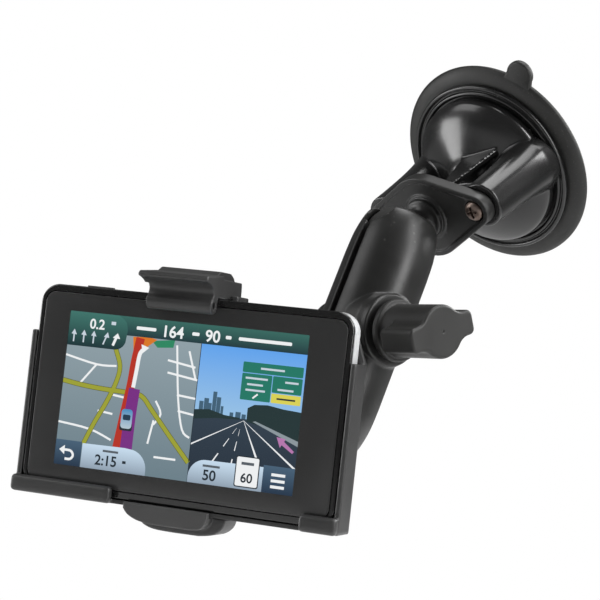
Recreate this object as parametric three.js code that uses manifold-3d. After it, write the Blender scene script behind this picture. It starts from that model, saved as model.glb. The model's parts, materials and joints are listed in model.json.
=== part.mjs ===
// Portable satellite navigator in a snap-in cradle, on a double-ball arm with a twist-lock suction cup.
// Units are millimetres. +Z is up, -Y is out of the screen towards the driver, and the origin is the
// centre of the suction cup's flat working face.
import * as THREE from "three";
import { mergeVertices } from "three/addons/utils/BufferGeometryUtils.js";
import Module from "manifold-3d";

const wasm = await Module();
wasm.setup();

// ---- Driving dimensions ----

const GAP = 0.3; // running clearance between separate pieces

// Suction cup: measured along its own axis, from the working face towards the ball.
const CUP = { radius: 42, centre: 2.4, skirtTop: 4.1, tabAngle: 51, tabRadius: 5.5 };
const CUP_YAW = -22.55; // degrees, the cup's axis seen from above
const CUP_PITCH = 34.15; // degrees, the cup's axis nose-down, as on a raked windscreen
const CUP_ROLL = 7.37; // degrees, the diamond plate's long axis about the cup's axis
const FLANGE = { radius: 35.7, bottom: 4.4, top: 6.6, floor: 8.4, floorTop: 10, hubRadius: 28 };
const PLUNGER = { footRadius: 18, foot: 5, footTop: 7.4, radius: 4, top: 21, pin: 17.6 };
const DOME = { radius: 30.6, bottom: 6.4, top: 24.4 };
const BOSS = { offset: 24.3, radius: 8.8, baseRadius: 10.2, bottom: 7.2 };

// Ball adapter: a diamond-shaped plate with a post and a rubber-coated one-inch ball.
const PLATE = { centreRadius: 16.65, endRadius: 6.55, hole: 24.3, thickness: 5 };
const PLATE_BACK = 45.54; // the upper plate's back, from the cup's face
const BALL_HEIGHT = 19.05; // ball centre above the plate's face
const BALL_RADIUS = 12.7;
const POST_RADIUS = 4.9;

// Double-socket arm: the sockets' centres, and the lean of the arm.
const ARM_CENTRES = 75.7;
const ARM_LEAN = 20.82; // degrees from vertical
const ARM_LEAN_TO = 64.58; // degrees, the compass direction it leans to, from +X towards +Y
const ARM_SPIN = -96.6; // degrees, turns the knob about the arm's length
const ARM_RADIUS = 16.4;
const ARM_END = 9.2; // how far an end reaches past its ball's centre
const ARM_SPLIT = 1.4; // half the gap between the two halves
const SOCKET_RADIUS = 13.1;
const SWING = 20; // degrees each way that a ball's post can swing in the split plane

// Clamp knob.
const KNOB = { flange: 19, hub: 21.6, wing: 27.7, end: 44.67, flangeRadius: 11.5, hubRadius: 9.7 };
const WING = { halfSpan: 15.2, thickness: 9.2, angle: 48.8 };
const BOLT_RADIUS = 3;

// Navigator: the origin of its own frame is the centre of the front glass.
const CASE = { width: 122, height: 75, back: 9.5, corner: 7, wall: 1.5, split: 3.4 };
const GLASS = { width: 117.9, height: 69.4, corner: 4, thickness: 1.2 };
const LOWER_BALL = new THREE.Vector3(42.04, 36.36, -2.44); // from the centre of the glass

// Cradle.
const CRADLE = { wall: 2, back: 12, front: -0.4, sideTop: 20, backTop: 30, floor: 1.6, centre: -4 };
const LIP = { front: -4.2, rear: -0.5, top: -33.3, left: -23, right: 49.5, radius: 1.8 };
const LATCH = { left: -17.5, right: 9.5, pivotY: 17, pivotZ: 36, barY: -3.4, barZ: 34.8, barRadius: 3 };
const PIN_RADIUS = 1.5;
const CHIN_FRONT = -2.6; // the chin's front face

// ---- Finishes ----

function finish(color, roughness, metalness = 0) {
  return new THREE.MeshStandardMaterial({ color, roughness, metalness });
}

const finishes = {
  softRubber: finish(0x232322, 0.62),
  glossPlastic: finish(0x161616, 0.3),
  satinPlastic: finish(0x1c1c1c, 0.45),
  armCoat: finish(0x1f1f1f, 0.4, 0.3),
  steel: finish(0x9c938a, 0.35, 1),
  springSteel: finish(0x8a8c8e, 0.3, 1),
  brass: finish(0xb08d4a, 0.35, 1),
  glass: finish(0x1b1b1b, 0.08),
  silver: finish(0xd7d9db, 0.35, 0.4),
  display: finish(0x4d7a6a, 0.3),
  board: finish(0x1d5a35, 0.5),
  battery: finish(0x3a3f46, 0.5),
  ceramic: finish(0xcfc9b8, 0.6),
};

// ---- Solids ----

// A closed geometry as a solid, its faces turned outwards.
function toSolid(geometry) {
  const bare = geometry.index ? geometry.toNonIndexed() : geometry.clone();
  bare.deleteAttribute("normal");
  bare.deleteAttribute("uv");
  const merged = mergeVertices(bare, 1e-4);
  const corners = merged.index.array;
  const triVerts = [];
  for (let i = 0; i < corners.length; i += 3) {
    const [a, b, c] = [corners[i], corners[i + 1], corners[i + 2]];
    if (a !== b && b !== c && c !== a) triVerts.push(a, b, c);
  }
  const build = (order) =>
    new wasm.Manifold(
      new wasm.Mesh({
        numProp: 3,
        vertProperties: merged.attributes.position.array,
        triVerts: new Uint32Array(order),
      }),
    );
  const made = build(triVerts);
  if (made.volume() >= 0) return made;
  const turned = [];
  for (let i = 0; i < triVerts.length; i += 3) {
    turned.push(triVerts[i], triVerts[i + 2], triVerts[i + 1]);
  }
  return build(turned);
}

function toGeometry(solid) {
  const mesh = solid.getMesh();
  const geometry = new THREE.BufferGeometry();
  const points = new THREE.BufferAttribute(new Float32Array(mesh.vertProperties), 3);
  geometry.setAttribute("position", points);
  geometry.setIndex(new THREE.BufferAttribute(new Uint32Array(mesh.triVerts), 1));
  return geometry;
}

function join(...shapes) {
  return shapes.map(toSolid).reduce((whole, next) => whole.add(next));
}

function cut(whole, ...tools) {
  return tools.map(toSolid).reduce((rest, tool) => rest.subtract(tool), whole);
}

// ---- Shapes ----

// A box from its lowest to its highest corner.
function block([x0, y0, z0], [x1, y1, z1]) {
  const box = new THREE.BoxGeometry(x1 - x0, y1 - y0, z1 - z0);
  return box.translate((x0 + x1) / 2, (y0 + y1) / 2, (z0 + z1) / 2);
}

// A round bar along Z, from one height to another.
function rodZ(radius, from, to, sides = 24, topRadius = radius) {
  const bar = new THREE.CylinderGeometry(topRadius, radius, to - from, sides);
  return bar.rotateX(Math.PI / 2).translate(0, 0, (from + to) / 2);
}

function rodX(radius, from, to, sides = 24) {
  return rodZ(radius, from, to, sides).rotateY(Math.PI / 2);
}

function rodY(radius, from, to, sides = 24) {
  return rodZ(radius, from, to, sides).rotateX(-Math.PI / 2);
}

// A profile of [radius, height] points turned about Z.
function turned(profile, sides = 32) {
  const points = profile.map(([radius, height]) => new THREE.Vector2(radius, height));
  return new THREE.LatheGeometry(points, sides).rotateX(Math.PI / 2);
}

function polygon(points) {
  return new THREE.Shape(points.map(([x, y]) => new THREE.Vector2(x, y)));
}

// A rectangle with round corners, centred.
function roundedRectangle(width, height, radius) {
  const [x, y] = [width / 2, height / 2];
  const shape = new THREE.Shape();
  shape.absarc(x - radius, y - radius, radius, 0, Math.PI / 2);
  shape.absarc(radius - x, y - radius, radius, Math.PI / 2, Math.PI);
  shape.absarc(radius - x, radius - y, radius, Math.PI, 1.5 * Math.PI);
  shape.absarc(x - radius, radius - y, radius, 1.5 * Math.PI, 2 * Math.PI);
  return shape;
}

function slab(shape, thickness, curveSegments = 5) {
  return new THREE.ExtrudeGeometry(shape, { depth: thickness, bevelEnabled: false, curveSegments });
}

// A slab whose outline is drawn in X and Z, from one depth to another.
function panel(shape, front, back, curveSegments = 5) {
  return slab(shape, back - front, curveSegments).rotateX(Math.PI / 2).translate(0, back, 0);
}

// A bar along X whose section is drawn in Y and Z.
function barAlongX(section, from, to, curveSegments = 6) {
  const bar = slab(section, to - from, curveSegments);
  return bar.rotateX(Math.PI / 2).rotateZ(Math.PI / 2).translate(from, 0, 0);
}

// A coil spring along Z.
function coil(radius, wire, from, to, turns) {
  const stepsPerTurn = 9;
  const steps = Math.round(turns * stepsPerTurn);
  const points = [];
  for (let i = 0; i <= steps; i++) {
    const angle = (i / stepsPerTurn) * 2 * Math.PI;
    const height = from + wire + (i / steps) * (to - from - 2 * wire);
    points.push(new THREE.Vector3(radius * Math.cos(angle), radius * Math.sin(angle), height));
  }
  const section = new THREE.Shape();
  section.absarc(0, 0, wire, 0, 2 * Math.PI);
  const path = new THREE.CatmullRomCurve3(points);
  const along = { steps, extrudePath: path, bevelEnabled: false, curveSegments: 3 };
  return new THREE.ExtrudeGeometry(section, along);
}

// ---- Frames ----

const turn = (degrees) => THREE.MathUtils.degToRad(degrees);

const cupFrame = new THREE.Matrix4()
  .makeRotationZ(turn(CUP_YAW))
  .multiply(new THREE.Matrix4().makeRotationX(turn(90 + CUP_PITCH)))
  .multiply(new THREE.Matrix4().makeRotationZ(turn(CUP_ROLL)));

const armTurn = new THREE.Matrix4()
  .makeRotationZ(turn(ARM_LEAN_TO))
  .multiply(new THREE.Matrix4().makeRotationY(turn(ARM_LEAN)))
  .multiply(new THREE.Matrix4().makeRotationZ(turn(ARM_SPIN)));

const PLATE_FACE = PLATE_BACK + PLATE.thickness;
const upperBall = new THREE.Vector3(0, 0, PLATE_FACE + BALL_HEIGHT).applyMatrix4(cupFrame);
const armCentre = new THREE.Vector3(0, 0, -ARM_CENTRES / 2).applyMatrix4(armTurn).add(upperBall);
const lowerBall = new THREE.Vector3(0, 0, -ARM_CENTRES).applyMatrix4(armTurn).add(upperBall);
const navigatorCentre = lowerBall.clone().sub(LOWER_BALL);

// ---- The object ----

const root = new THREE.Group();
const cup = new THREE.Group();
cup.applyMatrix4(cupFrame);
const arm = new THREE.Group();
arm.applyMatrix4(armTurn);
arm.position.copy(armCentre);
const navigator = new THREE.Group();
navigator.position.copy(navigatorCentre);
root.add(cup, arm, navigator);

function add(group, name, shape, material) {
  const geometry = shape.isBufferGeometry ? shape : toGeometry(shape);
  const mesh = new THREE.Mesh(geometry, material);
  mesh.name = name;
  group.add(mesh);
  return mesh;
}

// ---- Suction cup ----

function makeSuctionCup() {
  const { radius, centre, skirtTop, tabAngle, tabRadius } = CUP;
  const skirt = turned(
    [
      [0, 0],
      [radius, 0],
      [radius, 1.6],
      [radius - 1.5, 2.9],
      [radius - 4.4, skirtTop],
      [34, skirtTop],
      [33, 3],
      [10, centre],
      [0, centre],
    ],
    44,
  );
  const tab = rodZ(tabRadius, 0, 1.8, 20)
    .translate(radius + 2.6, 0, 0)
    .rotateZ(turn(tabAngle));
  add(cup, "suction_membrane", join(skirt, tab), finishes.softRubber);

  const { bottom, top, floor, floorTop, hubRadius } = FLANGE;
  const bore = PLUNGER.radius + 0.6;
  const flange = turned([
    [hubRadius - 2, bottom],
    [FLANGE.radius, bottom],
    [FLANGE.radius, top - 0.8],
    [FLANGE.radius - 0.7, top],
    [33.4, top],
    [32.6, top - 0.6],
    [hubRadius, top - 0.6],
    [hubRadius, floorTop],
    [bore, floorTop],
    [bore, floor],
    [hubRadius - 2, floor],
    [hubRadius - 2, bottom],
  ]);
  add(cup, "pressure_flange", flange, finishes.glossPlastic);
}

function makePlunger() {
  const { footRadius, foot, footTop, radius, top, pin } = PLUNGER;
  const body = join(rodZ(footRadius, foot, footTop, 32), rodZ(radius, footTop - 0.5, top, 20));
  add(cup, "plunger", cut(body, rodX(1.7, -6, 6, 12).translate(0, 0, pin)), finishes.satinPlastic);
  add(cup, "plunger_pin", rodX(1.4, -9.5, 9.5, 14).translate(0, 0, pin), finishes.steel);
  add(cup, "return_spring", coil(6, 0.45, FLANGE.floorTop + 0.3, 13.7, 2.5), finishes.springSteel);
}

function makeTwistBody() {
  const { radius, bottom, top } = DOME;
  const outside = turned([
    [0, bottom],
    [radius, bottom],
    [radius, 9.6],
    [radius - 0.8, 11.2],
    [28, 12.8],
    [24, 15],
    [18, 17.6],
    [12, 20.4],
    [8.5, 23],
    [6.5, top],
    [0, top],
  ]);
  const inside = turned([
    [0, bottom - 1],
    [28.6, bottom - 1],
    [28.6, 10.4],
    [27, 10.9],
    [23, 13],
    [17, 15.6],
    [10.4, 17],
    [10.4, 19.6],
    [4.6, 19.6],
    [4.6, 22.4],
    [0, 22.4],
  ]);
  const bossTop = PLATE_BACK - GAP;
  const bosses = [-1, 1].map((side) =>
    rodZ(BOSS.baseRadius, BOSS.bottom, bossTop, 24, BOSS.radius).translate(side * BOSS.offset, 0, 0),
  );
  // A thin web joins the two bosses, dished along its free edge.
  const web = polygon([
    [-20, 14],
    [20, 14],
    [20, 40],
    [10, 34],
    [0, 31.5],
    [-10, 34],
    [-20, 40],
  ]);
  // Two slanted ribs brace the plate against the dome, one on each side.
  const rib = polygon([
    [0.7, 12.5],
    [18.5, 11.5],
    [8.4, bossTop - 0.2],
    [5.6, bossTop - 0.2],
  ]);
  const ribs = [0, Math.PI].map((angle) =>
    panel(rib, -1.2, 1.2).translate(0, 0, -12).rotateX(turn(6.6)).translate(0, 11, 12).rotateZ(angle),
  );
  const whole = join(outside, ...bosses, panel(web, -1.3, 1.3), ...ribs);
  const holes = [-1, 1].map((side) => rodZ(2.3, 32.5, bossTop + 1, 14).translate(side * BOSS.offset, 0, 0));
  add(cup, "twist_lock_body", cut(whole, inside, ...holes), finishes.glossPlastic);
}

// ---- Ball adapters: the plate's back is at height 0 and its long axis is X ----

function diamondOutline() {
  const { centreRadius, endRadius, hole } = PLATE;
  const slant = Math.acos((centreRadius - endRadius) / hole);
  const outline = new THREE.Shape();
  outline.absarc(hole, 0, endRadius, -slant, slant);
  outline.absarc(0, 0, centreRadius, slant, Math.PI - slant);
  outline.absarc(-hole, 0, endRadius, Math.PI - slant, Math.PI + slant);
  outline.absarc(0, 0, centreRadius, Math.PI + slant, 2 * Math.PI - slant);
  return outline;
}

function adapterBody() {
  const { thickness, hole } = PLATE;
  const post = turned(
    [
      [0, thickness - 2],
      [8.2, thickness - 2],
      [8.2, thickness + 1.2],
      [7.2, thickness + 2.2],
      [5.6, thickness + 3],
      [POST_RADIUS, thickness + 5],
      [POST_RADIUS, thickness + BALL_HEIGHT + 5],
      [0, thickness + BALL_HEIGHT + 5],
    ],
    24,
  );
  const holes = [-1, 1].flatMap((side) => [
    rodZ(2.4, -1, thickness + 1, 16).translate(side * hole, 0, 0),
    rodZ(4.5, thickness - 1.6, thickness + 1, 20).translate(side * hole, 0, 0),
  ]);
  return cut(join(slab(diamondOutline(), thickness, 6), post), ...holes);
}

function rubberBall() {
  const ball = new THREE.SphereGeometry(BALL_RADIUS, 22, 14).rotateX(Math.PI / 2);
  return cut(toSolid(ball), rodZ(POST_RADIUS + GAP, -BALL_RADIUS - 2, 5 + GAP, 20));
}

function makeUpperAdapter() {
  const plate = add(cup, "upper_ball_adapter", adapterBody(), finishes.armCoat);
  plate.position.z = PLATE_BACK;
  const ball = add(cup, "upper_ball", rubberBall(), finishes.softRubber);
  ball.position.z = PLATE_FACE + BALL_HEIGHT;
  for (const side of [-1, 1]) {
    const seat = PLATE_FACE - 1.6 + GAP;
    const screw = join(
      rodZ(2, 33, seat + 0.5, 14),
      rodZ(3.9, seat, seat + 1.2, 18),
      rodZ(3.9, seat + 1.2, seat + 2.2, 18, 2.6),
    );
    const slots = [
      block([-2.2, -0.45, seat + 1.1], [2.2, 0.45, seat + 3]),
      block([-0.45, -2.2, seat + 1.1], [0.45, 2.2, seat + 3]),
    ];
    const name = side < 0 ? "upper_screw_left" : "upper_screw_right";
    add(cup, name, cut(screw, ...slots), finishes.steel).position.x = side * PLATE.hole;
  }
}

// ---- Double-socket arm: Z along the arm, X along the clamp bolt towards the knob ----

// Clearance for a ball's post as it swings about X, pointing out of the socket at `centre`.
function postClearance(direction, centre, swings) {
  return swings.map((angle) => {
    const swung = direction.clone().applyAxisAngle(new THREE.Vector3(1, 0, 0), turn(angle));
    const aim = new THREE.Quaternion().setFromUnitVectors(new THREE.Vector3(0, 0, 1), swung);
    return rodZ(POST_RADIUS + 1.4, 4, 34, 12).applyQuaternion(aim).translate(0, 0, centre);
  });
}

function makeArm() {
  const end = ARM_CENTRES / 2 + ARM_END;
  const profile = [
    [0, -end],
    [10.9, -end],
    [13.4, -end + 1.9],
    [15.2, -end + 7],
    [ARM_RADIUS, -26],
    [ARM_RADIUS, 26],
    [15.2, end - 7],
    [13.4, end - 1.9],
    [10.9, end],
    [0, end],
  ];
  const intoArm = armTurn.clone().invert();
  const upperPost = new THREE.Vector3(0, 0, -1).transformDirection(cupFrame).transformDirection(intoArm);
  const lowerPost = new THREE.Vector3(0, -1, 0).transformDirection(intoArm);
  const swings = [-SWING - 2, -11, 0, 11, SWING + 2];
  const half = ARM_CENTRES / 2;
  const sideNotches = [-1, 1].flatMap((side) =>
    [half, -half].map((centre) => {
      const lean = Math.sign(centre) * 62 * side;
      return rodZ(6.6, 0, 34, 18).rotateX(turn(centre > 0 ? -lean : 180 - lean)).translate(0, 0, centre);
    }),
  );
  const hollow = [
    ...[half, -half].map((centre) =>
      new THREE.SphereGeometry(SOCKET_RADIUS, 24, 14).rotateX(Math.PI / 2).translate(0, 0, centre),
    ),
    rodZ(9.2, -26, 26, 24),
    rodX(BOLT_RADIUS + GAP, -30, 30, 20),
    ...postClearance(upperPost, half, swings),
    ...postClearance(lowerPost, -half, swings),
    ...sideNotches,
  ];
  const far = 60;
  const frontPad = rodX(13.4, 4, 17.2, 28);
  const rearPad = rodX(11, -17.2, -4, 24);
  const hexPocket = rodX(6.1, -18, -12.2, 6);
  const behindSplit = block([-far, -far, -far], [ARM_SPLIT, far, far]);
  const beforeSplit = block([-ARM_SPLIT, -far, -far], [far, far, far]);
  const front = cut(join(turned(profile), frontPad), ...hollow, behindSplit);
  const rear = cut(join(turned(profile), rearPad), ...hollow, hexPocket, beforeSplit);
  add(arm, "arm_half_front", front, finishes.armCoat);
  add(arm, "arm_half_rear", rear, finishes.armCoat);
}

function makeClamp() {
  add(arm, "clamp_bolt", join(rodX(5.6, -16.6, -12.5, 6), rodX(BOLT_RADIUS, -13, 36, 18)), finishes.steel);
  const spring = coil(4.8, 0.6, -6.5, 6.5, 4.5).rotateY(Math.PI / 2);
  add(arm, "arm_spring", spring, finishes.springSteel);
  const washer = cut(toSolid(rodX(8, 17.5, 18.7, 24)), rodX(BOLT_RADIUS + GAP, 16, 20, 18));
  add(arm, "thrust_washer", washer, finishes.steel);

  const { flange, hub, wing, end, flangeRadius, hubRadius } = KNOB;
  const bar = slab(roundedRectangle(2 * WING.halfSpan, WING.thickness, 1.6), end - wing, 4)
    .rotateZ(turn(90))
    .rotateY(Math.PI / 2)
    .translate(wing, 0, 0)
    .rotateX(turn(90 - WING.angle));
  const grip = join(rodX(flangeRadius, flange, hub, 32), rodX(hubRadius, hub - 0.5, end, 32), bar);
  const bore = rodX(4.8, flange - 1, 39.5, 20);
  const dimple = rodX(0.6, end - 0.4, end + 1, 8);
  add(arm, "clamp_knob", cut(grip, bore, dimple), finishes.satinPlastic);
  const insert = cut(toSolid(rodX(4.5, 19.4, 39, 20)), rodX(BOLT_RADIUS + GAP, 18, 40, 18));
  add(arm, "knob_insert", insert, finishes.brass);
}

// ---- Lower ball adapter, on the back of the cradle ----

function makeLowerAdapter() {
  const plateFrame = new THREE.Group();
  plateFrame.rotation.set(-Math.PI / 2, 0, 0);
  plateFrame.position.set(LOWER_BALL.x, LOWER_BALL.y - BALL_HEIGHT - PLATE.thickness, LOWER_BALL.z);
  navigator.add(plateFrame);
  const upright = new THREE.Group();
  upright.rotation.z = Math.PI / 2;
  plateFrame.add(upright);
  add(upright, "lower_ball_adapter", adapterBody(), finishes.armCoat);
  add(upright, "lower_ball", rubberBall(), finishes.softRubber).position.z = PLATE.thickness + BALL_HEIGHT;
  const seat = PLATE.thickness - 1.6 + GAP;
  for (const side of [-1, 1]) {
    const place = side < 0 ? "top" : "bottom";
    const screw = join(rodZ(3.4, -2.2, -0.9, 18), rodZ(2, -1.2, 9.5, 14));
    add(upright, "lower_screw_" + place, screw, finishes.steel).position.x = side * PLATE.hole;
    const nut = cut(toSolid(rodZ(4.1, seat, seat + 3.4, 6)), rodZ(2 + GAP, seat - 1, seat + 5, 14));
    add(upright, "lock_nut_" + place, nut, finishes.steel).position.x = side * PLATE.hole;
  }
}

// ---- Cradle ----

function lipSection() {
  const { front, rear, top, radius } = LIP;
  const bottom = -CASE.height / 2 - GAP - CRADLE.floor;
  const section = new THREE.Shape();
  section.absarc(front + radius, top - radius, radius, Math.PI, Math.PI / 2, true);
  section.lineTo(rear, top);
  section.lineTo(rear, bottom);
  section.absarc(front + radius, bottom + radius, radius, 1.5 * Math.PI, Math.PI, true);
  return section;
}

function makeCradle() {
  const inner = CASE.width / 2 + GAP;
  const outer = inner + CRADLE.wall;
  const shelfTop = -CASE.height / 2 - GAP;
  const shelfBottom = shelfTop - CRADLE.floor;
  const wallFront = CASE.back + GAP;
  const back = polygon([
    [-outer, shelfBottom],
    [outer, shelfBottom],
    [outer, CRADLE.sideTop],
    [outer - 4, CRADLE.backTop],
    [CRADLE.centre + 19.5, CRADLE.backTop],
    [CRADLE.centre + 16.7, 35],
    [CRADLE.centre - 16.7, 35],
    [CRADLE.centre - 19.5, CRADLE.backTop],
    [4 - outer, CRADLE.backTop],
    [-outer, CRADLE.sideTop],
  ]);
  const sides = [-1, 1].map((side) => {
    const [a, b] = [side * inner, side * outer].sort((p, q) => p - q);
    return block([a, CRADLE.front, shelfBottom], [b, CRADLE.back, CRADLE.sideTop]);
  });
  const shelf = block([-outer, 0, shelfBottom], [outer, CRADLE.back, shelfTop]);
  const lips = [
    barAlongX(lipSection(), -outer, LIP.left),
    barAlongX(lipSection(), LIP.right, outer),
    block([-outer, LIP.rear - 0.6, shelfBottom], [LIP.left, 0.5, shelfTop]),
    block([LIP.right, LIP.rear - 0.6, shelfBottom], [outer, 0.5, shelfTop]),
  ];
  const lugs = [
    [LATCH.left - GAP - 3, LATCH.left - GAP],
    [LATCH.right + GAP, LATCH.right + GAP + 3],
  ].map(([from, to]) => block([from, wallFront, 28], [to, 20.5, 39.5]));
  const windows = [
    [-54, -21],
    [-13, 20],
  ].map(([from, to]) => block([from, wallFront - 1, -26], [to, CRADLE.back + 1, 16]));
  const screwHoles = [-1, 1].flatMap((side) => {
    const at = [LOWER_BALL.x, 0, LOWER_BALL.z + side * PLATE.hole];
    return [rodY(2.4, 0, 20, 14).translate(...at), rodY(3.8, 0, 11.7, 18).translate(...at)];
  });
  const pinHole = rodX(PIN_RADIUS + GAP / 2, -30, 30, 12).translate(0, LATCH.pivotY, LATCH.pivotZ);
  const whole = join(panel(back, wallFront, CRADLE.back), ...sides, shelf, ...lips, ...lugs);
  add(navigator, "cradle_shell", cut(whole, ...windows, ...screwHoles, pinHole), finishes.satinPlastic);

  // The chin hangs under the shelf: a blank front plate with a deeper body behind it.
  const seam = shelfBottom - GAP;
  const plate = polygon([
    [-17.7, seam],
    [-16, -41.8],
    [-12.6, -43.6],
    [-7.5, -44.6],
    [9.5, -44.6],
    [12.6, -43.8],
    [14.4, -41.8],
    [15.1, seam],
  ]);
  const body = polygon([
    [-15.4, seam],
    [-13.6, -44.2],
    [-7.6, -46.7],
    [11, -46.9],
    [16.4, -45.6],
    [19.4, -42.8],
    [20, seam],
  ]);
  const apron = block([-17.7, CHIN_FRONT, seam - 0.5], [15.1, -GAP, shelfTop]);
  const chin = join(panel(plate, CHIN_FRONT, 5), panel(body, 4, 15), apron);
  add(navigator, "cradle_chin", chin, finishes.satinPlastic);
}

function latchSection() {
  const { barY, barZ, barRadius } = LATCH;
  const section = new THREE.Shape();
  section.moveTo(12.6, 38);
  section.lineTo(-0.3, 38);
  section.absarc(barY, barZ, barRadius, turn(20), turn(-200), true);
  section.quadraticCurveTo(-6.4, 41.4, -11.2, 42.6);
  section.lineTo(-12, 43.6);
  section.lineTo(-11, 44.9);
  section.lineTo(4, 46.2);
  section.lineTo(7, 47.7);
  section.lineTo(16, 47.7);
  section.lineTo(20, 45.4);
  section.lineTo(21, 40);
  section.lineTo(20.4, 35);
  section.lineTo(17.6, 32.6);
  section.lineTo(14.4, 32.8);
  section.lineTo(12.6, 35);
  return section;
}

function makeLatch() {
  const { left, right, pivotY, pivotZ, barY, barZ } = LATCH;
  const middle = (left + right) / 2;
  const pinHole = rodX(PIN_RADIUS + GAP / 2, left - 1, right + 1, 12).translate(0, pivotY, pivotZ);
  const springPocket = block([middle - 4.5, 12, 30], [middle + 4.5, 24, 40]);
  const barBore = rodX(1.3, left - 1, right + 1, 10).translate(0, barY, barZ);
  const lowEnd = block([right - 3, 3, 44.6], [right + 1, 26, 50]);
  const bar = toSolid(barAlongX(latchSection(), left, right));
  add(navigator, "latch", cut(bar, pinHole, springPocket, barBore, lowEnd), finishes.satinPlastic);
  const pin = rodX(PIN_RADIUS - GAP / 2, left - 3.4, right + 3.4, 14).translate(0, pivotY, pivotZ);
  add(navigator, "latch_pin", pin, finishes.steel);
  const spring = coil(2.7, 0.45, middle - 3.5, middle + 3.5, 4)
    .rotateY(Math.PI / 2)
    .translate(0, pivotY, pivotZ);
  add(navigator, "latch_spring", spring, finishes.springSteel);
}

// ---- Navigator ----

function makeCasing() {
  const { width, height, back, corner, wall, split } = CASE;
  const glass = panel(roundedRectangle(GLASS.width, GLASS.height, GLASS.corner), 0, GLASS.thickness);
  add(navigator, "touch_glass", glass, finishes.glass);
  const ring = cut(
    toSolid(panel(roundedRectangle(width, height, corner), 0.1, split - GAP)),
    panel(roundedRectangle(GLASS.width + 0.6, GLASS.height + 0.6, GLASS.corner), -1, split + 1),
  );
  add(navigator, "front_bezel", ring, finishes.glossPlastic);
  const inside = roundedRectangle(width - 2 * wall, height - 2 * wall, corner - wall);
  const tub = cut(
    toSolid(panel(roundedRectangle(width, height, corner), split, back)),
    panel(inside, split - 1, back - 1.4),
    block([-width / 2 - 1, 4, 23.8], [-width / 2 + 4, 8, 32.2]), // charging socket
    block([26.8, 4.2, height / 2 - 4], [39.2, 6.2, height / 2 + 1]), // memory card
    block([-45.3, 4.4, height / 2 - 4], [-34.7, 7.2, height / 2 + 1]), // power key
    ...[-46, -43, -40, -37].map((x) => block([x, back - 3, -24], [x + 1.4, back + 1, -12])), // speaker
  );
  add(navigator, "rear_housing", tub, finishes.silver);
}

function makeInsides() {
  const display = panel(roundedRectangle(104, 62, 1.5), GLASS.thickness + GAP, 3.9, 2);
  add(navigator, "display_module", display, finishes.display);
  const board = join(
    block([-50, 4.6, -30], [5, 5.4, 30]),
    block([-32, 5.2, -6], [-12, 7.2, 14]),
    block([-8, 5.2, -24], [2, 6.4, -12]),
  );
  add(navigator, "main_board", board, finishes.board);
  const battery = panel(roundedRectangle(46, 50, 2), 4.5, 7.8, 3).translate(32, 0, -5);
  add(navigator, "battery", battery, finishes.battery);
  add(navigator, "speaker", rodY(8, 5.7, 7.8, 24).translate(-41, 0, -18), finishes.satinPlastic);
  add(navigator, "antenna_patch", block([-44, 5.7, 4], [-35, 7.7, 13]), finishes.ceramic);
  const socket = cut(
    toSolid(block([-60.8, 4.3, 24.2], [-51.5, 7.7, 31.8])),
    block([-62, 4.9, 24.9], [-53, 7.1, 31.1]),
  );
  add(navigator, "charging_socket", socket, finishes.steel);
  const cage = cut(
    toSolid(block([26, 4.3, 22.4], [40, 6.1, 35.8])),
    block([27, 4.7, 24], [39, 5.8, 37]),
  );
  add(navigator, "card_cage", cage, finishes.steel);
  add(navigator, "memory_card", block([27.4, 4.9, 24.4], [38.6, 5.6, 37.2]), finishes.satinPlastic);
  const key = join(
    block([-45, 4.7, 36.2], [-35, 6.9, 38.1]),
    block([-46.5, 4.3, 34.8], [-33.5, 7.3, 35.6]),
    block([-42, 5, 35], [-38, 6.6, 37]),
  );
  add(navigator, "power_key", key, finishes.satinPlastic);
}

makeSuctionCup();
makePlunger();
makeTwistBody();
makeUpperAdapter();
makeArm();
makeClamp();
makeLowerAdapter();
makeCradle();
makeLatch();
makeCasing();
makeInsides();

export default root;
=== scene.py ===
"""A slim satellite navigator in its snap-in cradle, on a double-ball arm and a twist-lock suction cup.

Shapes are worked out in millimetres, in the frame of their sub-assembly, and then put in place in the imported
model's frame, in metres.
"""
import json
import math

import bmesh
import bpy
from mathutils import Matrix, Quaternion, Vector


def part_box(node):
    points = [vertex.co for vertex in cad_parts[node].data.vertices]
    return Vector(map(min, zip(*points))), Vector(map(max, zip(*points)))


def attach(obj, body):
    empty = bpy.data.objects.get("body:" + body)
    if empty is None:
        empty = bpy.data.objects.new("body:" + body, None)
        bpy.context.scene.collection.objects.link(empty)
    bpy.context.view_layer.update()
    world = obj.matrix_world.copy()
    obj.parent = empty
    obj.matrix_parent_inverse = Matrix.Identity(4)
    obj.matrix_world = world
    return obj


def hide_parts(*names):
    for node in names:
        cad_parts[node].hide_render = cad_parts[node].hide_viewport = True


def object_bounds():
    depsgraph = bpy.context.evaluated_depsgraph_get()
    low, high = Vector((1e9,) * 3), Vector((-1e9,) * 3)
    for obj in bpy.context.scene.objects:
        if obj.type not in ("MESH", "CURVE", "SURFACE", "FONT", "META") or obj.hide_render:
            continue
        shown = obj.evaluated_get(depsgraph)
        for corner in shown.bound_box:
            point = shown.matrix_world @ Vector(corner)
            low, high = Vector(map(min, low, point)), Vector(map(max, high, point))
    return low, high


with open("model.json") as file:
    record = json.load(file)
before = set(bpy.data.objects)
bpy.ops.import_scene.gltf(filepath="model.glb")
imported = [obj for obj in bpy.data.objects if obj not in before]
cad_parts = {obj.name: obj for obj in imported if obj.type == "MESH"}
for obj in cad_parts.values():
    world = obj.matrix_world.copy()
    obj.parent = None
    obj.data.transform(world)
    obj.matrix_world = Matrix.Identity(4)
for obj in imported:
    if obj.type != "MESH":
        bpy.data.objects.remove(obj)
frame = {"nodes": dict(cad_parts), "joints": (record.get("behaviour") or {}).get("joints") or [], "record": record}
cad_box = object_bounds()

MM = 0.001
STEPS = 96               # sides of a large turned shape

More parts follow.
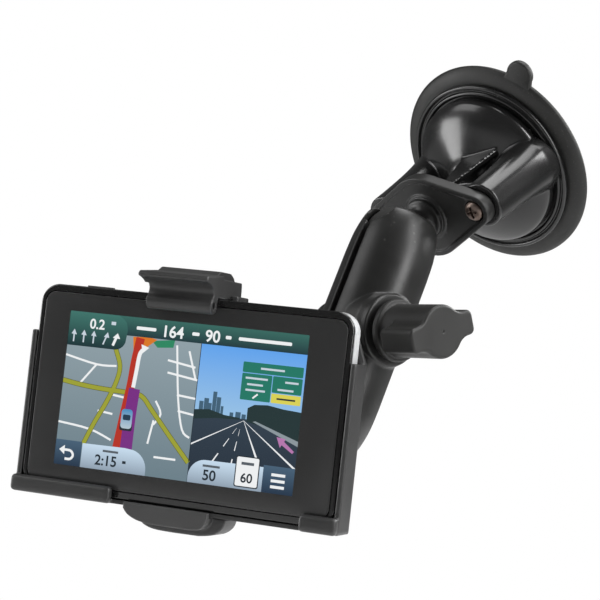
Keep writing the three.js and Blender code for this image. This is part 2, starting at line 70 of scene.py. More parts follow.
# ---- Frames of the sub-assemblies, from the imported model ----


def joint(name):
    return next(j for j in frame["joints"] if j["name"] == name)


def middle(node):
    low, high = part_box(node)
    return (low + high) / 2


def place_of(origin, x, z):
    """The matrix that takes millimetres in a sub-assembly's own frame to metres in the model's frame."""
    axes = Matrix((x, z.cross(x), z)).transposed()
    return Matrix.Translation(origin) @ axes.to_4x4() @ Matrix.Scale(MM, 4)


upper_centre = Vector(joint("upper_ball_swivel")["pos_m"])
lower_centre = Vector(joint("lower_ball_swing")["pos_m"])
cup_axis = Vector(joint("twist_lock")["axis"]).normalized()
knob_axis = Vector(joint("upper_ball_swing")["axis"]).normalized()
arm_axis = (upper_centre - lower_centre).normalized()

across = middle("upper_screw_right") - middle("upper_screw_left")
cup_across = (across - across.dot(cup_axis) * cup_axis).normalized()

LATCH_PIVOT = Vector((0, 17, 36))        # from the middle of the front glass
glass_centre = Vector(joint("latch_release")["pos_m"]) - LATCH_PIVOT * MM

IN_CUP = place_of(Vector((0, 0, 0)), cup_across, cup_axis)
IN_ARM = place_of((upper_centre + lower_centre) / 2, knob_axis, arm_axis)
IN_NAVIGATOR = Matrix.Translation(glass_centre) @ Matrix.Scale(MM, 4)

BALL_RADIUS = 12.7
BALL_HEIGHT = 19.05      # above the face of its plate
PLATE_THICKNESS = 5
PLATE_HOLE = 24.3        # from the middle of the plate
PLATE_FACE = upper_centre.dot(cup_axis) / MM - BALL_HEIGHT
PLATE_BACK = PLATE_FACE - PLATE_THICKNESS
HALF_CENTRES = (upper_centre - lower_centre).length / MM / 2
plate_back_below = lower_centre - Vector((0, BALL_HEIGHT + PLATE_THICKNESS, 0)) * MM
IN_LOWER_PLATE = place_of(plate_back_below, Vector((0, 0, -1)), Vector((0, 1, 0)))
IN_UPPER_PLATE = IN_CUP @ Matrix.Translation((0, 0, PLATE_BACK))

# ---- Outlines ----


def arc(x, y, radius, start, end, steps=10):
    """Points on an arc about (x, y), from one angle to another in degrees."""
    angles = [math.radians(start + (end - start) * i / steps) for i in range(steps + 1)]
    return [(x + radius * math.cos(a), y + radius * math.sin(a)) for a in angles]


def flow(points, steps=6):
    """A smooth curve through the points."""
    ends = [points[0], *points, points[-1]]
    curve = []
    for before, a, b, after in zip(ends, ends[1:], ends[2:], ends[3:]):
        for i in range(steps):
            t = i / steps
            curve.append(tuple(
                0.5 * (2 * q + (r - p) * t + (2 * p - 5 * q + 4 * r - s) * t**2
                       + (3 * q - p - 3 * r + s) * t**3)
                for p, q, r, s in zip(before, a, b, after)
            ))
    return [*curve, points[-1]]


def rounded_rectangle(width, height, radius, steps=10):
    x, y = width / 2 - radius, height / 2 - radius
    return [
        *arc(x, y, radius, 0, 90, steps),
        *arc(-x, y, radius, 90, 180, steps),
        *arc(-x, -y, radius, 180, 270, steps),
        *arc(x, -y, radius, 270, 360, steps),
    ]


def moved(outline, x, y):
    return [(px + x, py + y) for px, py in outline]


# ---- Shapes, each a closed bmesh ----


def turn_out(bm):
    bmesh.ops.remove_doubles(bm, verts=bm.verts, dist=1e-4)
    bmesh.ops.recalc_face_normals(bm, faces=bm.faces)
    return bm


def slab(outline, low, high):
    """A plate of that outline, from one height to another along Z."""
    bm = bmesh.new()
    face = bm.faces.new([bm.verts.new((x, y, low)) for x, y in outline])
    grown = bmesh.ops.extrude_face_region(bm, geom=[face])["geom"]
    raised = [v for v in grown if isinstance(v, bmesh.types.BMVert)]
    bmesh.ops.translate(bm, vec=(0, 0, high - low), verts=raised)
    return turn_out(bm)


def turned(profile, steps=STEPS):
    """A profile of (radius, height) points spun about Z. One that starts off the axis closes on itself."""
    bm = bmesh.new()
    verts = [bm.verts.new((radius, 0, height)) for radius, height in profile]
    edges = [bm.edges.new(pair) for pair in zip(verts, verts[1:])]
    if profile[0][0] > 0:
        edges.append(bm.edges.new((verts[-1], verts[0])))
    bmesh.ops.spin(bm, geom=verts + edges, axis=(0, 0, 1), angle=math.tau, steps=steps, use_merge=True)
    return turn_out(bm)


def rod(radius, low, high, top_radius=None, sides=48):
    bm = bmesh.new()
    top = radius if top_radius is None else top_radius
    bmesh.ops.create_cone(bm, cap_ends=True, segments=sides, radius1=radius, radius2=top, depth=high - low)
    return shift(bm, 0, 0, (low + high) / 2)


def block(low, high):
    bm = bmesh.new()
    bmesh.ops.create_cube(bm, size=1)
    bmesh.ops.scale(bm, vec=[b - a for a, b in zip(low, high)], verts=bm.verts)
    return shift(bm, *[(a + b) / 2 for a, b in zip(low, high)])


def ball(radius, z=0):
    bm = bmesh.new()
    bmesh.ops.create_uvsphere(bm, u_segments=64, v_segments=40, radius=radius)
    return shift(bm, 0, 0, z)


def shift(bm, x, y, z):
    bmesh.ops.translate(bm, vec=(x, y, z), verts=bm.verts)
    return bm


def swing(bm, axis, degrees):
    turn = Matrix.Rotation(math.radians(degrees), 3, axis)
    bmesh.ops.rotate(bm, cent=(0, 0, 0), matrix=turn, verts=bm.verts)
    return bm


def along_x(bm):
    """Turns a shape that grows along Z so that it grows along X, with its X and Y now Y and Z."""
    laid = Matrix(((0, 0, 1), (1, 0, 0), (0, 1, 0))).to_4x4()
    bmesh.ops.transform(bm, matrix=laid, verts=bm.verts)
    return bm


def panel(outline, front, back):
    """A plate whose outline is drawn in X and Z, from one depth to another."""
    return swing(slab(outline, -back, -front), "X", 90)


def bar_along_x(section, left, right):
    """A bar whose section is drawn in Y and Z."""
    return along_x(slab(section, left, right))


def eased(bm, width, segments=3, sharper_than=40):
    """Rounds over the edges that are sharper than an angle."""
    limit = math.radians(sharper_than)
    sharp = [e for e in bm.edges if len(e.link_faces) == 2 and e.calc_face_angle() > limit]
    bmesh.ops.bevel(
        bm, geom=sharp, offset=width, offset_type="OFFSET", segments=segments, profile=0.5,
        affect="EDGES", clamp_overlap=True, material=-1,
    )
    return bm


# ---- From shapes to pieces ----


def as_object(bm):
    mesh = bpy.data.meshes.new("shape")
    bm.to_mesh(mesh)
    bm.free()
    obj = bpy.data.objects.new("shape", mesh)
    bpy.context.scene.collection.objects.link(obj)
    return obj


def worked(parts, cuts=(), grain=0, soften=3):
    """Joins the parts and takes the cuts away. With a grain, the skin is made anew at that size and
    softened, so that edges and inside corners are rounded as a moulding's are."""
    whole = as_object(parts[0])
    jobs = [("UNION", as_object(p)) for p in parts[1:]] + [("DIFFERENCE", as_object(c)) for c in cuts]
    for operation, tool in jobs:
        step = whole.modifiers.new(operation.lower(), "BOOLEAN")
        step.operation = operation
        step.object = tool
        step.solver = "EXACT"
    if grain:
        skin = whole.modifiers.new("skin", "REMESH")
        skin.mode = "VOXEL"
        skin.voxel_size = grain
        soft = whole.modifiers.new("soften", "SMOOTH")
        soft.factor = 0.5
        soft.iterations = soften
    bpy.context.view_layer.update()
    mesh = bpy.data.meshes.new_from_object(whole.evaluated_get(bpy.context.evaluated_depsgraph_get()))
    for obj in [whole, *[tool for _, tool in jobs]]:
        bpy.data.objects.remove(obj)
    return mesh


def piece(name, mesh, place, body, finish, nodes=(), sharp=35):
    """Puts a finished shape in place, on the body that it rides on, for the nodes that it stands for."""
    if isinstance(mesh, bmesh.types.BMesh):
        made = bpy.data.meshes.new(name)
        mesh.to_mesh(made)
        mesh.free()
        mesh = made
    mesh.name = name
    mesh.transform(place)
    mesh.shade_smooth()
    mesh.set_sharp_from_angle(angle=math.radians(sharp))
    mesh.materials.clear()
    mesh.materials.append(finish)
    obj = bpy.data.objects.new(name, mesh)
    bpy.context.scene.collection.objects.link(obj)
    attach(obj, body)
    if nodes:
        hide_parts(*nodes)
    return obj


# ---- Shader groups ----


def add_node(tree, kind, **settings):
    node = tree.nodes.new(kind)
    for key, value in settings.items():
        if key in node.inputs:
            node.inputs[key].default_value = value
        else:
            setattr(node, key, value)
    return node


def group_of(name, inputs, outputs):
    tree = bpy.data.node_groups.new(name, "ShaderNodeTree")
    for socket, value in inputs.items():
        made = tree.interface.new_socket(socket, in_out="INPUT", socket_type="NodeSocketFloat")
        made.default_value = value
    for socket in outputs:
        tree.interface.new_socket(socket, in_out="OUTPUT", socket_type="NodeSocketFloat")
    return tree, tree.nodes.new("NodeGroupInput"), tree.nodes.new("NodeGroupOutput")


def noise_at(tree, scale_from, detail=3.0):
    coordinates = add_node(tree, "ShaderNodeTexCoord")
    noise = add_node(tree, "ShaderNodeTexNoise", Detail=detail)
    tree.links.new(coordinates.outputs["Object"], noise.inputs["Vector"])
    tree.links.new(scale_from, noise.inputs["Scale"])
    return noise.outputs["Fac"]


def scaled(tree, value, low, high, to_low=0.0, to_high=1.0):
    node = add_node(tree, "ShaderNodeMapRange")
    tree.links.new(value, node.inputs["Value"])
    for socket, number in {"From Min": low, "From Max": high, "To Min": to_low, "To Max": to_high}.items():
        if isinstance(number, bpy.types.NodeSocket):
            tree.links.new(number, node.inputs[socket])
        else:
            node.inputs[socket].default_value = number
    return node.outputs["Result"]


def combined(tree, operation, a, b):
    node = add_node(tree, "ShaderNodeMath", operation=operation)
    for socket, value in zip(node.inputs, (a, b)):
        if isinstance(value, bpy.types.NodeSocket):
            tree.links.new(value, socket)
        else:
            socket.default_value = value
    return node.outputs["Value"]


def grain_group():
    """A moulded or sprayed surface: fine grain as a height, and slow blotches as a mask."""
    scales = {"Grain Scale": 3000.0, "Blotch Scale": 60.0}
    tree, given, out = group_of("surface grain", scales, ["Height", "Blotch"])
    fine = noise_at(tree, given.outputs["Grain Scale"], detail=2.0)
    slow = noise_at(tree, given.outputs["Blotch Scale"], detail=5.0)
    tree.links.new(fine, out.inputs["Height"])
    tree.links.new(scaled(tree, slow, 0.3, 0.7), out.inputs["Blotch"])
    return tree


def edge_wear_and_highlight_group():
    """Lighter convex edges, broken up by noise: partly rubbed wear, partly a painted edge highlight."""
    limits = {"Start": 0.52, "End": 0.6, "Break-up Scale": 350.0}
    tree, given, out = group_of("rubbed edges and painted highlights", limits, ["Wear"])
    geometry = add_node(tree, "ShaderNodeNewGeometry")
    edge = scaled(tree, geometry.outputs["Pointiness"], given.outputs["Start"], given.outputs["End"])
    patchy = scaled(tree, noise_at(tree, given.outputs["Break-up Scale"]), 0.35, 0.65)
    tree.links.new(combined(tree, "MULTIPLY", edge, patchy), out.inputs["Wear"])
    return tree


def scratch_group():
    """Hairline scratches, as a mask: thin bands where a stretched noise crosses its middle."""
    tree, given, out = group_of("hairlines", {"Scale": 90.0, "Stretch": 14.0, "Width": 0.012}, ["Scratch"])
    coordinates = add_node(tree, "ShaderNodeTexCoord")
    found = None
    for angle in (0.5, 2.1):
        mapping = add_node(tree, "ShaderNodeMapping")
        mapping.inputs["Rotation"].default_value = (angle, angle * 0.7, angle * 1.3)
        stretch = add_node(tree, "ShaderNodeCombineXYZ", Y=1.0, Z=1.0)
        tree.links.new(given.outputs["Stretch"], stretch.inputs["X"])
        tree.links.new(stretch.outputs["Vector"], mapping.inputs["Scale"])
        tree.links.new(coordinates.outputs["Object"], mapping.inputs["Vector"])
        noise = add_node(tree, "ShaderNodeTexNoise", Detail=1.0)
        tree.links.new(mapping.outputs["Vector"], noise.inputs["Vector"])
        tree.links.new(given.outputs["Scale"], noise.inputs["Scale"])
        away = combined(tree, "ABSOLUTE", combined(tree, "SUBTRACT", noise.outputs["Fac"], 0.5), 0.0)
        line = combined(tree, "LESS_THAN", away, given.outputs["Width"])
        found = line if found is None else combined(tree, "MAXIMUM", found, line)
    tree.links.new(found, out.inputs["Scratch"])
    return tree


GRAIN = grain_group()
EDGE_WEAR_AND_HIGHLIGHT = edge_wear_and_highlight_group()
SCRATCH = scratch_group()


# ---- Finishes ----


class Finish:
    """A material under construction: its Principled BSDF, and the chains that feed it."""

    def __init__(self, name, colour, roughness, **constants):
        self.material = bpy.data.materials.new(name)
        self.material.use_nodes = True
        self.tree = self.material.node_tree
        self.shader = self.tree.nodes["Principled BSDF"]
        self.shader.inputs["Base Color"].default_value = (*colour, 1)
        self.shader.inputs["Roughness"].default_value = roughness
        for key, value in constants.items():
            self.shader.inputs[key.replace("_", " ")].default_value = value
        self.colour = None
        self.base = colour
        self.roughness = roughness

    def group(self, tree, **values):
        node = add_node(self.tree, "ShaderNodeGroup", node_tree=tree)
        for key, value in values.items():
            node.inputs[key.replace("_", " ")].default_value = value
        return node

    def tint(self, mask, colour, amount=1.0):
        """Mixes a colour in where the mask is."""
        mix = add_node(self.tree, "ShaderNodeMix", data_type="RGBA")
        self.tree.links.new(scaled(self.tree, mask, 0.0, 1.0, 0.0, amount), mix.inputs["Factor"])
        if self.colour is None:
            mix.inputs["A"].default_value = (*self.base, 1)
        else:
            self.tree.links.new(self.colour, mix.inputs["A"])
        mix.inputs["B"].default_value = (*colour, 1)
        self.colour = mix.outputs["Result"]
        self.tree.links.new(self.colour, self.shader.inputs["Base Color"])

    def roughen(self, mask, low, high):
        self.tree.links.new(scaled(self.tree, mask, 0.0, 1.0, low, high), self.shader.inputs["Roughness"])

    def bump(self, height, depth, strength=1.0):
        node = add_node(self.tree, "ShaderNodeBump", Strength=strength, Distance=depth)
        self.tree.links.new(height, node.inputs["Height"])
        self.tree.links.new(node.outputs["Normal"], self.shader.inputs["Normal"])


def moulded(name, colour, roughness, grain=3000, depth=0.00002, blotch=0.25, wear_and_highlight_tone=None, dust=0.0,
            scratches=0.0, **constants):
    """A moulded, sprayed or coated finish, with grain, blotches, lighter edges (partly rubbed wear, partly painted
    highlight), dust and hairlines.
    """
    made = Finish(name, colour, roughness, **constants)
    surface = made.group(GRAIN, Grain_Scale=float(grain))
    lighter = tuple(min(1, c * 1.35 + 0.004) for c in colour)
    made.tint(surface.outputs["Blotch"], lighter, blotch)
    if dust:
        specks = made.group(GRAIN, Grain_Scale=1500.0, Blotch_Scale=25.0)
        seen = combined(made.tree, "MULTIPLY", scaled(made.tree, specks.outputs["Height"], 0.62, 0.72),
                        specks.outputs["Blotch"])
        made.tint(seen, (0.3, 0.29, 0.27), dust)
    # Convex edges tinted lighter: partly rubbed wear, partly a painted highlight along the edges.
    if wear_and_highlight_tone:
        edges = made.group(EDGE_WEAR_AND_HIGHLIGHT)
        made.tint(edges.outputs["Wear"], wear_and_highlight_tone, 0.8)
    rough = surface.outputs["Blotch"]
    if scratches:
        hair = made.group(SCRATCH)
        rough = combined(made.tree, "ADD", combined(made.tree, "MULTIPLY", rough, 0.3),
                         combined(made.tree, "MULTIPLY", hair.outputs["Scratch"], scratches))
    made.roughen(rough, roughness * 0.85, min(1, roughness * 1.2 + scratches * 0.2))
    made.bump(surface.outputs["Height"], depth)
    return made.material


def metal(name, colour, roughness, tarnish, grain=1800, depth=0.00001):
    """Turned or drawn metal: fine tool marks and a darker tarnish in patches."""
    made = Finish(name, colour, roughness, Metallic=1.0)
    surface = made.group(GRAIN, Grain_Scale=float(grain), Blotch_Scale=220.0)
    made.tint(surface.outputs["Blotch"], tarnish, 0.6)
    hair = made.group(SCRATCH, Scale=260.0, Stretch=20.0, Width=0.03)
    made.roughen(hair.outputs["Scratch"], roughness, roughness + 0.18)
    made.bump(surface.outputs["Height"], depth)
    return made.material


cup_rubber = moulded("cup rubber", (0.015, 0.015, 0.014), 0.5, grain=2600, depth=0.00003, dust=0.12)
cup_plastic = moulded("glossy cup plastic", (0.012, 0.012, 0.012), 0.24, grain=500, depth=0.00001,
                      scratches=0.25, Coat_Weight=0.2, Coat_Roughness=0.12)
ball_rubber = moulded("ball rubber", (0.018, 0.018, 0.017), 0.65, grain=4000, depth=0.00004, dust=0.1)
# The lighter edge tones given below stand partly for rubbed wear and partly for painted edge highlights.
arm_coating = moulded("powder coat", (0.014, 0.014, 0.0135), 0.36, grain=2200, depth=0.00003,
                      wear_and_highlight_tone=(0.07, 0.069, 0.067))
knob_plastic = moulded("satin knob plastic", (0.018, 0.018, 0.017), 0.45, grain=3200, depth=0.00003,
                       wear_and_highlight_tone=(0.1, 0.1, 0.1))
# The cradle grey, and the chin's lighter grey even more, are partly the plastic's own tone and partly painted
# frontal light on the lips and chin.
cradle_plastic = moulded("satin cradle plastic", (0.042, 0.042, 0.042), 0.36, grain=3400, depth=0.00002,
                         wear_and_highlight_tone=(0.1, 0.1, 0.1))
chin_plastic = moulded("chin plastic", (0.07, 0.07, 0.07), 0.42, grain=3400, depth=0.00002,
                       wear_and_highlight_tone=(0.12, 0.12, 0.12))
bezel_plastic = moulded("piano black", (0.012, 0.012, 0.012), 0.08, grain=400, depth=0.000005,
                        scratches=0.15, Coat_Weight=0.5, Coat_Roughness=0.05)
silver_plastic = moulded("silver paint", (0.8, 0.81, 0.82), 0.32, grain=5200, depth=0.00001, blotch=0.1,
                         Metallic=0.1, Coat_Weight=0.3, Coat_Roughness=0.12)
glass_border = moulded("printed glass border", (0.036, 0.036, 0.036), 0.26, grain=700, depth=0.000003,
                       blotch=0.1, scratches=0.12, Coat_Weight=0.15, Coat_Roughness=0.2)
steel = metal("turned steel", (0.52, 0.51, 0.49), 0.3, (0.3, 0.29, 0.27))
screw_steel = metal("screw steel", (0.2, 0.16, 0.14), 0.34, (0.09, 0.05, 0.035))
spring_steel = metal("spring wire", (0.45, 0.45, 0.45), 0.28, (0.25, 0.24, 0.23))
brass = metal("brass", (0.6, 0.43, 0.18), 0.28, (0.35, 0.22, 0.08))
circuit_board = moulded("solder mask", (0.012, 0.11, 0.045), 0.35, grain=900, depth=0.00002, blotch=0.4)
display_back = moulded("display back", (0.25, 0.26, 0.27), 0.3, grain=800, depth=0.00001, Metallic=0.8)
battery_wrap = moulded("battery wrap", (0.07, 0.075, 0.085), 0.4, grain=600, depth=0.00003)
ceramic = moulded("antenna ceramic", (0.55, 0.5, 0.4), 0.55, grain=2500, depth=0.00003)

FINISHES = {
    "cup_rubber": cup_rubber, "cup_plastic": cup_plastic, "ball_rubber": ball_rubber,
    "arm_coating": arm_coating, "knob_plastic": knob_plastic, "steel": steel, "screw_steel": screw_steel,
    "spring_steel": spring_steel, "brass": brass, "cradle_plastic": cradle_plastic,
    "chin_plastic": chin_plastic, "screen_glass": glass_border,
    "bezel_plastic": bezel_plastic, "silver_plastic": silver_plastic, "display_panel": display_back,
    "circuit_board": circuit_board, "battery_wrap": battery_wrap, "speaker_plastic": cradle_plastic,
    "antenna_ceramic": ceramic, "card_plastic": cradle_plastic, "key_plastic": cradle_plastic,
}


def finish_cad_nodes():
    """The nodes that keep their own shape take the finish of their slot."""
    for part in frame["record"]["subparts"]:
        mesh = frame["nodes"][part["node"]].data
        mesh.materials.clear()
        mesh.materials.append(FINISHES[part["material_slot"]])


# ---- Suction cup ----

CUP_RADIUS = 42
TAB_ANGLE = 51


def make_membrane():
    profile = [
        (0, 0), (41.2, 0), *arc(41.2, 0.8, 0.8, -90, 0, 5)[1:], (42, 1.4),
        *flow([(41.8, 1.9), (41, 2.7), (39.6, 3.4), (37.8, 3.9), (36.4, 4.1)], 4),
        (34.2, 4.1), *arc(34.2, 3.6, 0.5, 90, 150, 4), (33.2, 3), (10, 2.4), (0, 2.4),
    ]
    tab = eased(slab([
        *arc(CUP_RADIUS + 2.6, 0, 5.5, -100, 100, 20), (CUP_RADIUS - 4, 6.4), (CUP_RADIUS - 4, -6.4),
    ], 0, 2.8), 0.8)
    skirt = turned(profile, 128)
    mesh = worked([skirt, swing(tab, "Z", TAB_ANGLE)])
    piece("rubber_cup", mesh, IN_CUP, "suction_base", cup_rubber, ["suction_membrane"], 50)


def make_flange():
    profile = [
        (26, 4.4), (35.3, 4.4), (35.7, 4.8), (35.7, 5.4), *arc(34.8, 5.7, 0.9, 0, 150, 8),
        (33.6, 5.7), (33.3, 5.7), *arc(32.3, 5.8, 0.8, 20, 160, 8), (31.2, 5.6), (28, 5.6), (28, 9.7),
        (27.7, 10), (4.6, 10), (4.6, 8.4), (26, 8.4),
    ]
    piece("pressure_ring", turned(profile, 128), IN_CUP, "suction_base", cup_plastic,
          ["pressure_flange"])


def make_twist_body():
    skin = flow([
        (30.6, 9.2), (30, 10.8), (28, 12.6), (24, 15), (18, 17.6), (12, 20.4), (8.5, 22.8), (6, 24),
    ], 5)
    dome = turned([(0, 6.4), (30.2, 6.4), (30.6, 6.8), *skin, (4, 24.4), (0, 24.4)], 128)
    inside = turned([
        (0, 5.4), (28.6, 5.4), (28.6, 10.4), (27, 10.9), (23, 13), (17, 15.6), (10.4, 17), (10.4, 19.6),
        (4.6, 19.6), (4.6, 22.4), (0, 22.4),
    ], 64)
    top = PLATE_BACK - 0.3
    flank = flow([(11.3, 12), (10.5, 17), (9.7, 25), (9.1, 36), (8.8, top)], 4)
    boss_profile = [(0, 7.2), (11.6, 7.2), *flank, (0, top)]
    bosses = [shift(turned(boss_profile, 64), side * PLATE_HOLE, 0, 0) for side in (-1, 1)]
    web = panel([(-20, 14), (20, 14), (20, 40), *arc(0, 53, 22, -38, -142, 14), (-20, 40)], -1.3, 1.3)
    rib_outline = [(0.7, 12.5), (18.5, 11.5), (8.4, top - 0.2), (5.6, top - 0.2)]
    ribs = []
    for angle in (0, 180):
        rib = shift(swing(shift(panel(rib_outline, -1.2, 1.2), 0, 0, -12), "X", 6.6), 0, 11, 12)
        ribs.append(swing(rib, "Z", angle))
    holes = [shift(rod(2.3, 32.5, top + 1), side * PLATE_HOLE, 0, 0) for side in (-1, 1)]
    mesh = worked([dome, *bosses, web, *ribs], [inside, *holes], grain=0.45, soften=4)
    piece("twist_lock_dome", mesh, IN_CUP, "twist_lock", cup_plastic,
          ["twist_lock_body"], 60)


# ---- Ball adapters ----

PLATE_CENTRE_RADIUS = 16.65
PLATE_END_RADIUS = 6.55
POST_RADIUS = 4.9


def diamond(inset=0.0):
    """The plate's outline: two small round ends and a large round middle, joined by straight flanks."""
    slant = math.degrees(math.acos((PLATE_CENTRE_RADIUS - PLATE_END_RADIUS) / PLATE_HOLE))
    small, large = PLATE_END_RADIUS - inset, PLATE_CENTRE_RADIUS - inset
    return [
        *arc(PLATE_HOLE, 0, small, -slant, slant, 16),
        *arc(0, 0, large, slant, 180 - slant, 16),
        *arc(-PLATE_HOLE, 0, small, 180 - slant, 180 + slant, 16),
        *arc(0, 0, large, 180 + slant, 360 - slant, 16),
    ]


def adapter_mesh():
    face = PLATE_THICKNESS
    post = turned([
        (0, face - 2), (8.2, face - 2), (8.2, face + 1.2), *arc(7.2, face + 1.2, 1, 0, 80, 4),
        *flow([(6.4, face + 2.5), (5.3, face + 3.6), (POST_RADIUS, face + 5.5)], 4),
        (POST_RADIUS, face + BALL_HEIGHT + 5), (0, face + BALL_HEIGHT + 5),
    ], 64)
    well = worked([slab(diamond(2.1), face - 0.7, face + 3)], [rod(9.4, 0, 10)])
    recess = bmesh.new()
    recess.from_mesh(well)
    holes = []
    for side in (-1, 1):
        holes.append(shift(rod(2.4, -1, face + 1), side * PLATE_HOLE, 0, 0))
        holes.append(shift(rod(4.3, face - 1.6, face + 1), side * PLATE_HOLE, 0, 0))
    return worked([slab(diamond(), 0, face), post], [recess, *holes], grain=0.28, soften=3)


def make_adapters():
    piece("upper_ball_plate", adapter_mesh(), IN_UPPER_PLATE, "twist_lock", arm_coating,
          ["upper_ball_adapter"], 60)
    piece("lower_ball_plate", adapter_mesh(), IN_LOWER_PLATE, "cradle", arm_coating,
          ["lower_ball_adapter"], 60)
    centre = PLATE_THICKNESS + BALL_HEIGHT
    for name, place in (("upper", IN_UPPER_PLATE), ("lower", IN_LOWER_PLATE)):
        mesh = worked([ball(BALL_RADIUS, centre)], [rod(POST_RADIUS + 0.3, 0, centre + 5.3)])
        node = name + "_ball"
        piece(name + "_rubber_ball", mesh, place, node, ball_rubber, [node])


def cross_recess(width, length, low, high):
    half, reach = width / 2, length / 2
    sizes = ((reach, half), (half, reach))
    return [block((-x, -y, low), (x, y, high)) for x, y in sizes]


def make_screws():
    seat = PLATE_THICKNESS - 1.3
    for side, name in ((-1, "upper_screw_left"), (1, "upper_screw_right")):
        head = turned([
            (0, seat), (3.9, seat), (3.9, seat + 0.9), *flow([(3.75, seat + 1.2), (3.2, seat + 1.8),
            (2.1, seat + 2.3), (0.9, seat + 2.5)], 3), (0, seat + 2.52),
        ], 48)
        shank = rod(2, 33 - PLATE_BACK, seat + 0.3)
        mesh = worked([head, shank], cross_recess(1.05, 4.6, seat + 0.9, seat + 4), grain=0.13, soften=2)
        mesh.transform(Matrix.Translation((side * PLATE_HOLE, 0, 0)))
        piece(name.replace("_screw", "_cross_screw"), mesh, IN_UPPER_PLATE, "twist_lock",
              screw_steel, [name], 60)


# ---- Double-socket arm: X towards the knob, Z up the arm ----

ARM_RADIUS = 16.4
ARM_END = HALF_CENTRES + 9.2
ARM_SPLIT = 1.4
SOCKET_RADIUS = 13.1
SWINGS = (-22, -11, 0, 11, 22)


def post_clearance(direction, centre):
    """The room that a post needs as it swings in the split between the halves."""
    tools = []
    for angle in SWINGS:
        aimed = Matrix.Rotation(math.radians(angle), 3, "X") @ direction
        tool = rod(POST_RADIUS + 1.4, 4, 34, sides=32)
        aim = Vector((0, 0, 1)).rotation_difference(aimed).to_matrix()
        bmesh.ops.rotate(tool, cent=(0, 0, 0), matrix=aim, verts=tool.verts)
        tools.append(shift(tool, 0, 0, centre))
    return tools


def arm_hollow():
    back = IN_ARM.to_3x3().normalized().inverted()
    tools = [rod(9.2, -26, 26), along_x(rod(3.3, -30, 30))]
    for centre, direction in ((HALF_CENTRES, -cup_axis), (-HALF_CENTRES, Vector((0, -1, 0)))):
        tools.append(ball(SOCKET_RADIUS, centre))
        tools += post_clearance(back @ direction, centre)
        for side in (-1, 1):
            lean = 62 * side * (1 if centre > 0 else -1)
            notch = swing(rod(6.6, 0, 34), "X", -lean if centre > 0 else 180 - lean)
            tools.append(shift(notch, 0, 0, centre))
    return tools


def make_arm():
    end = ARM_END
    quarter = flow([(10.4, end), (12.6, end - 0.7), (14, end - 2.8), (15.2, end - 7), (16.1, end - 13),
                    (ARM_RADIUS, 26)], 5)
    profile = [(0, -end), *[(r, -z) for r, z in quarter], *reversed(quarter), (0, end)]
    far = 60
    behind_split = block((-far, -far, -far), (ARM_SPLIT, far, far))
    before_split = block((-ARM_SPLIT, -far, -far), (far, far, far))
    pad = turned([(0, 4), (15.4, 4), (14.6, 13), (13.6, 15.4), (13.4, 16.8), (13, 17.2), (0, 17.2)], 64)
    seam_behind = swing(turned(profile), "Z", 180)
    front = worked([seam_behind, along_x(pad)], [*arm_hollow(), behind_split], grain=0.38, soften=4)
    piece("arm_front_casting", front, IN_ARM, "front_jaw", arm_coating,
          ["arm_half_front"], 60)
    boss = swing(turned([(0, 4), (12, 4), (11.2, 14), (10.6, 17.2), (0, 17.2)], 64), "X", 180)
    hexagon = along_x(rod(6.1, -18, -12.2, sides=6))
    rear = worked([turned(profile), along_x(boss)], [*arm_hollow(), hexagon, before_split], grain=0.38,
                  soften=4)
    piece("arm_rear_casting", rear, IN_ARM, "arm", arm_coating, ["arm_half_rear"], 60)


# ---- Clamp knob ----

KNOB_END = 44.67
WING_ANGLE = 48.8        # from the arm's length


def wing_outline():
    """A round hub with a wing each way, blended by fillets."""
    hub, half, reach, fillet, corner = 9.7, 4.6, 15.2, 6.5, 2.2
    start = math.sqrt((hub + fillet) ** 2 - (half + fillet) ** 2)
    meets = math.degrees(math.atan2(half + fillet, start))
    side = [
        *arc(reach - corner, half - corner, corner, 0, 90, 6),
        *arc(start, half + fillet, fillet, -90, meets - 180, 8),
    ]
    top = side + arc(0, 0, hub, meets, 90, 8)
    upper = top + [(-x, y) for x, y in reversed(top)][1:]
    lower = [(-x, -y) for x, y in upper]
    return upper + lower


def make_knob():
    wings = along_x(eased(slab(wing_outline(), 27.7, KNOB_END), 1.0, 4, 50))
    swing(wings, "X", 90 - WING_ANGLE)
    collar = turned([
        (0, 19), (11.2, 19), (11.5, 19.3), (11.5, 21.1), (11.1, 21.6), (9.9, 21.7), (9.7, 22.2), (9.7, 30),
        (0, 30),
    ])
    parts = [wings, along_x(collar)]
    cuts = [along_x(rod(4.8, 18, 39.5)), along_x(rod(0.55, KNOB_END - 0.5, KNOB_END + 1, sides=20))]
    mesh = worked(parts, cuts, grain=0.24, soften=4)
    piece("wing_knob", mesh, IN_ARM, "knob", knob_plastic, ["clamp_knob"], 60)


# ---- Cradle ----

CASE_WIDTH, CASE_HEIGHT, CASE_BACK = 122, 75, 9.5
INNER = CASE_WIDTH / 2 + 0.3
OUTER = INNER + 2
SHELF_TOP = -CASE_HEIGHT / 2 - 0.3
SHELF_BOTTOM = SHELF_TOP - 1.6
LIP_LEFT, LIP_RIGHT = -23, 49.5
CHIN_FRONT = -2.6
LATCH_LEFT, LATCH_RIGHT = -17.5, 9.5
BAR_Y, BAR_Z = -3.4, 34.8
WALL_FRONT, WALL_BACK = CASE_BACK + 0.3, 12


def lip_section():
    radius = 1.8
    return [
        *arc(-4.2 + radius, -33.3 - radius, radius, 180, 90, 8), (-0.5, -33.3), (-0.5, SHELF_BOTTOM),
        *arc(-4.2 + radius, SHELF_BOTTOM + radius, radius, 270, 180, 8),
    ]


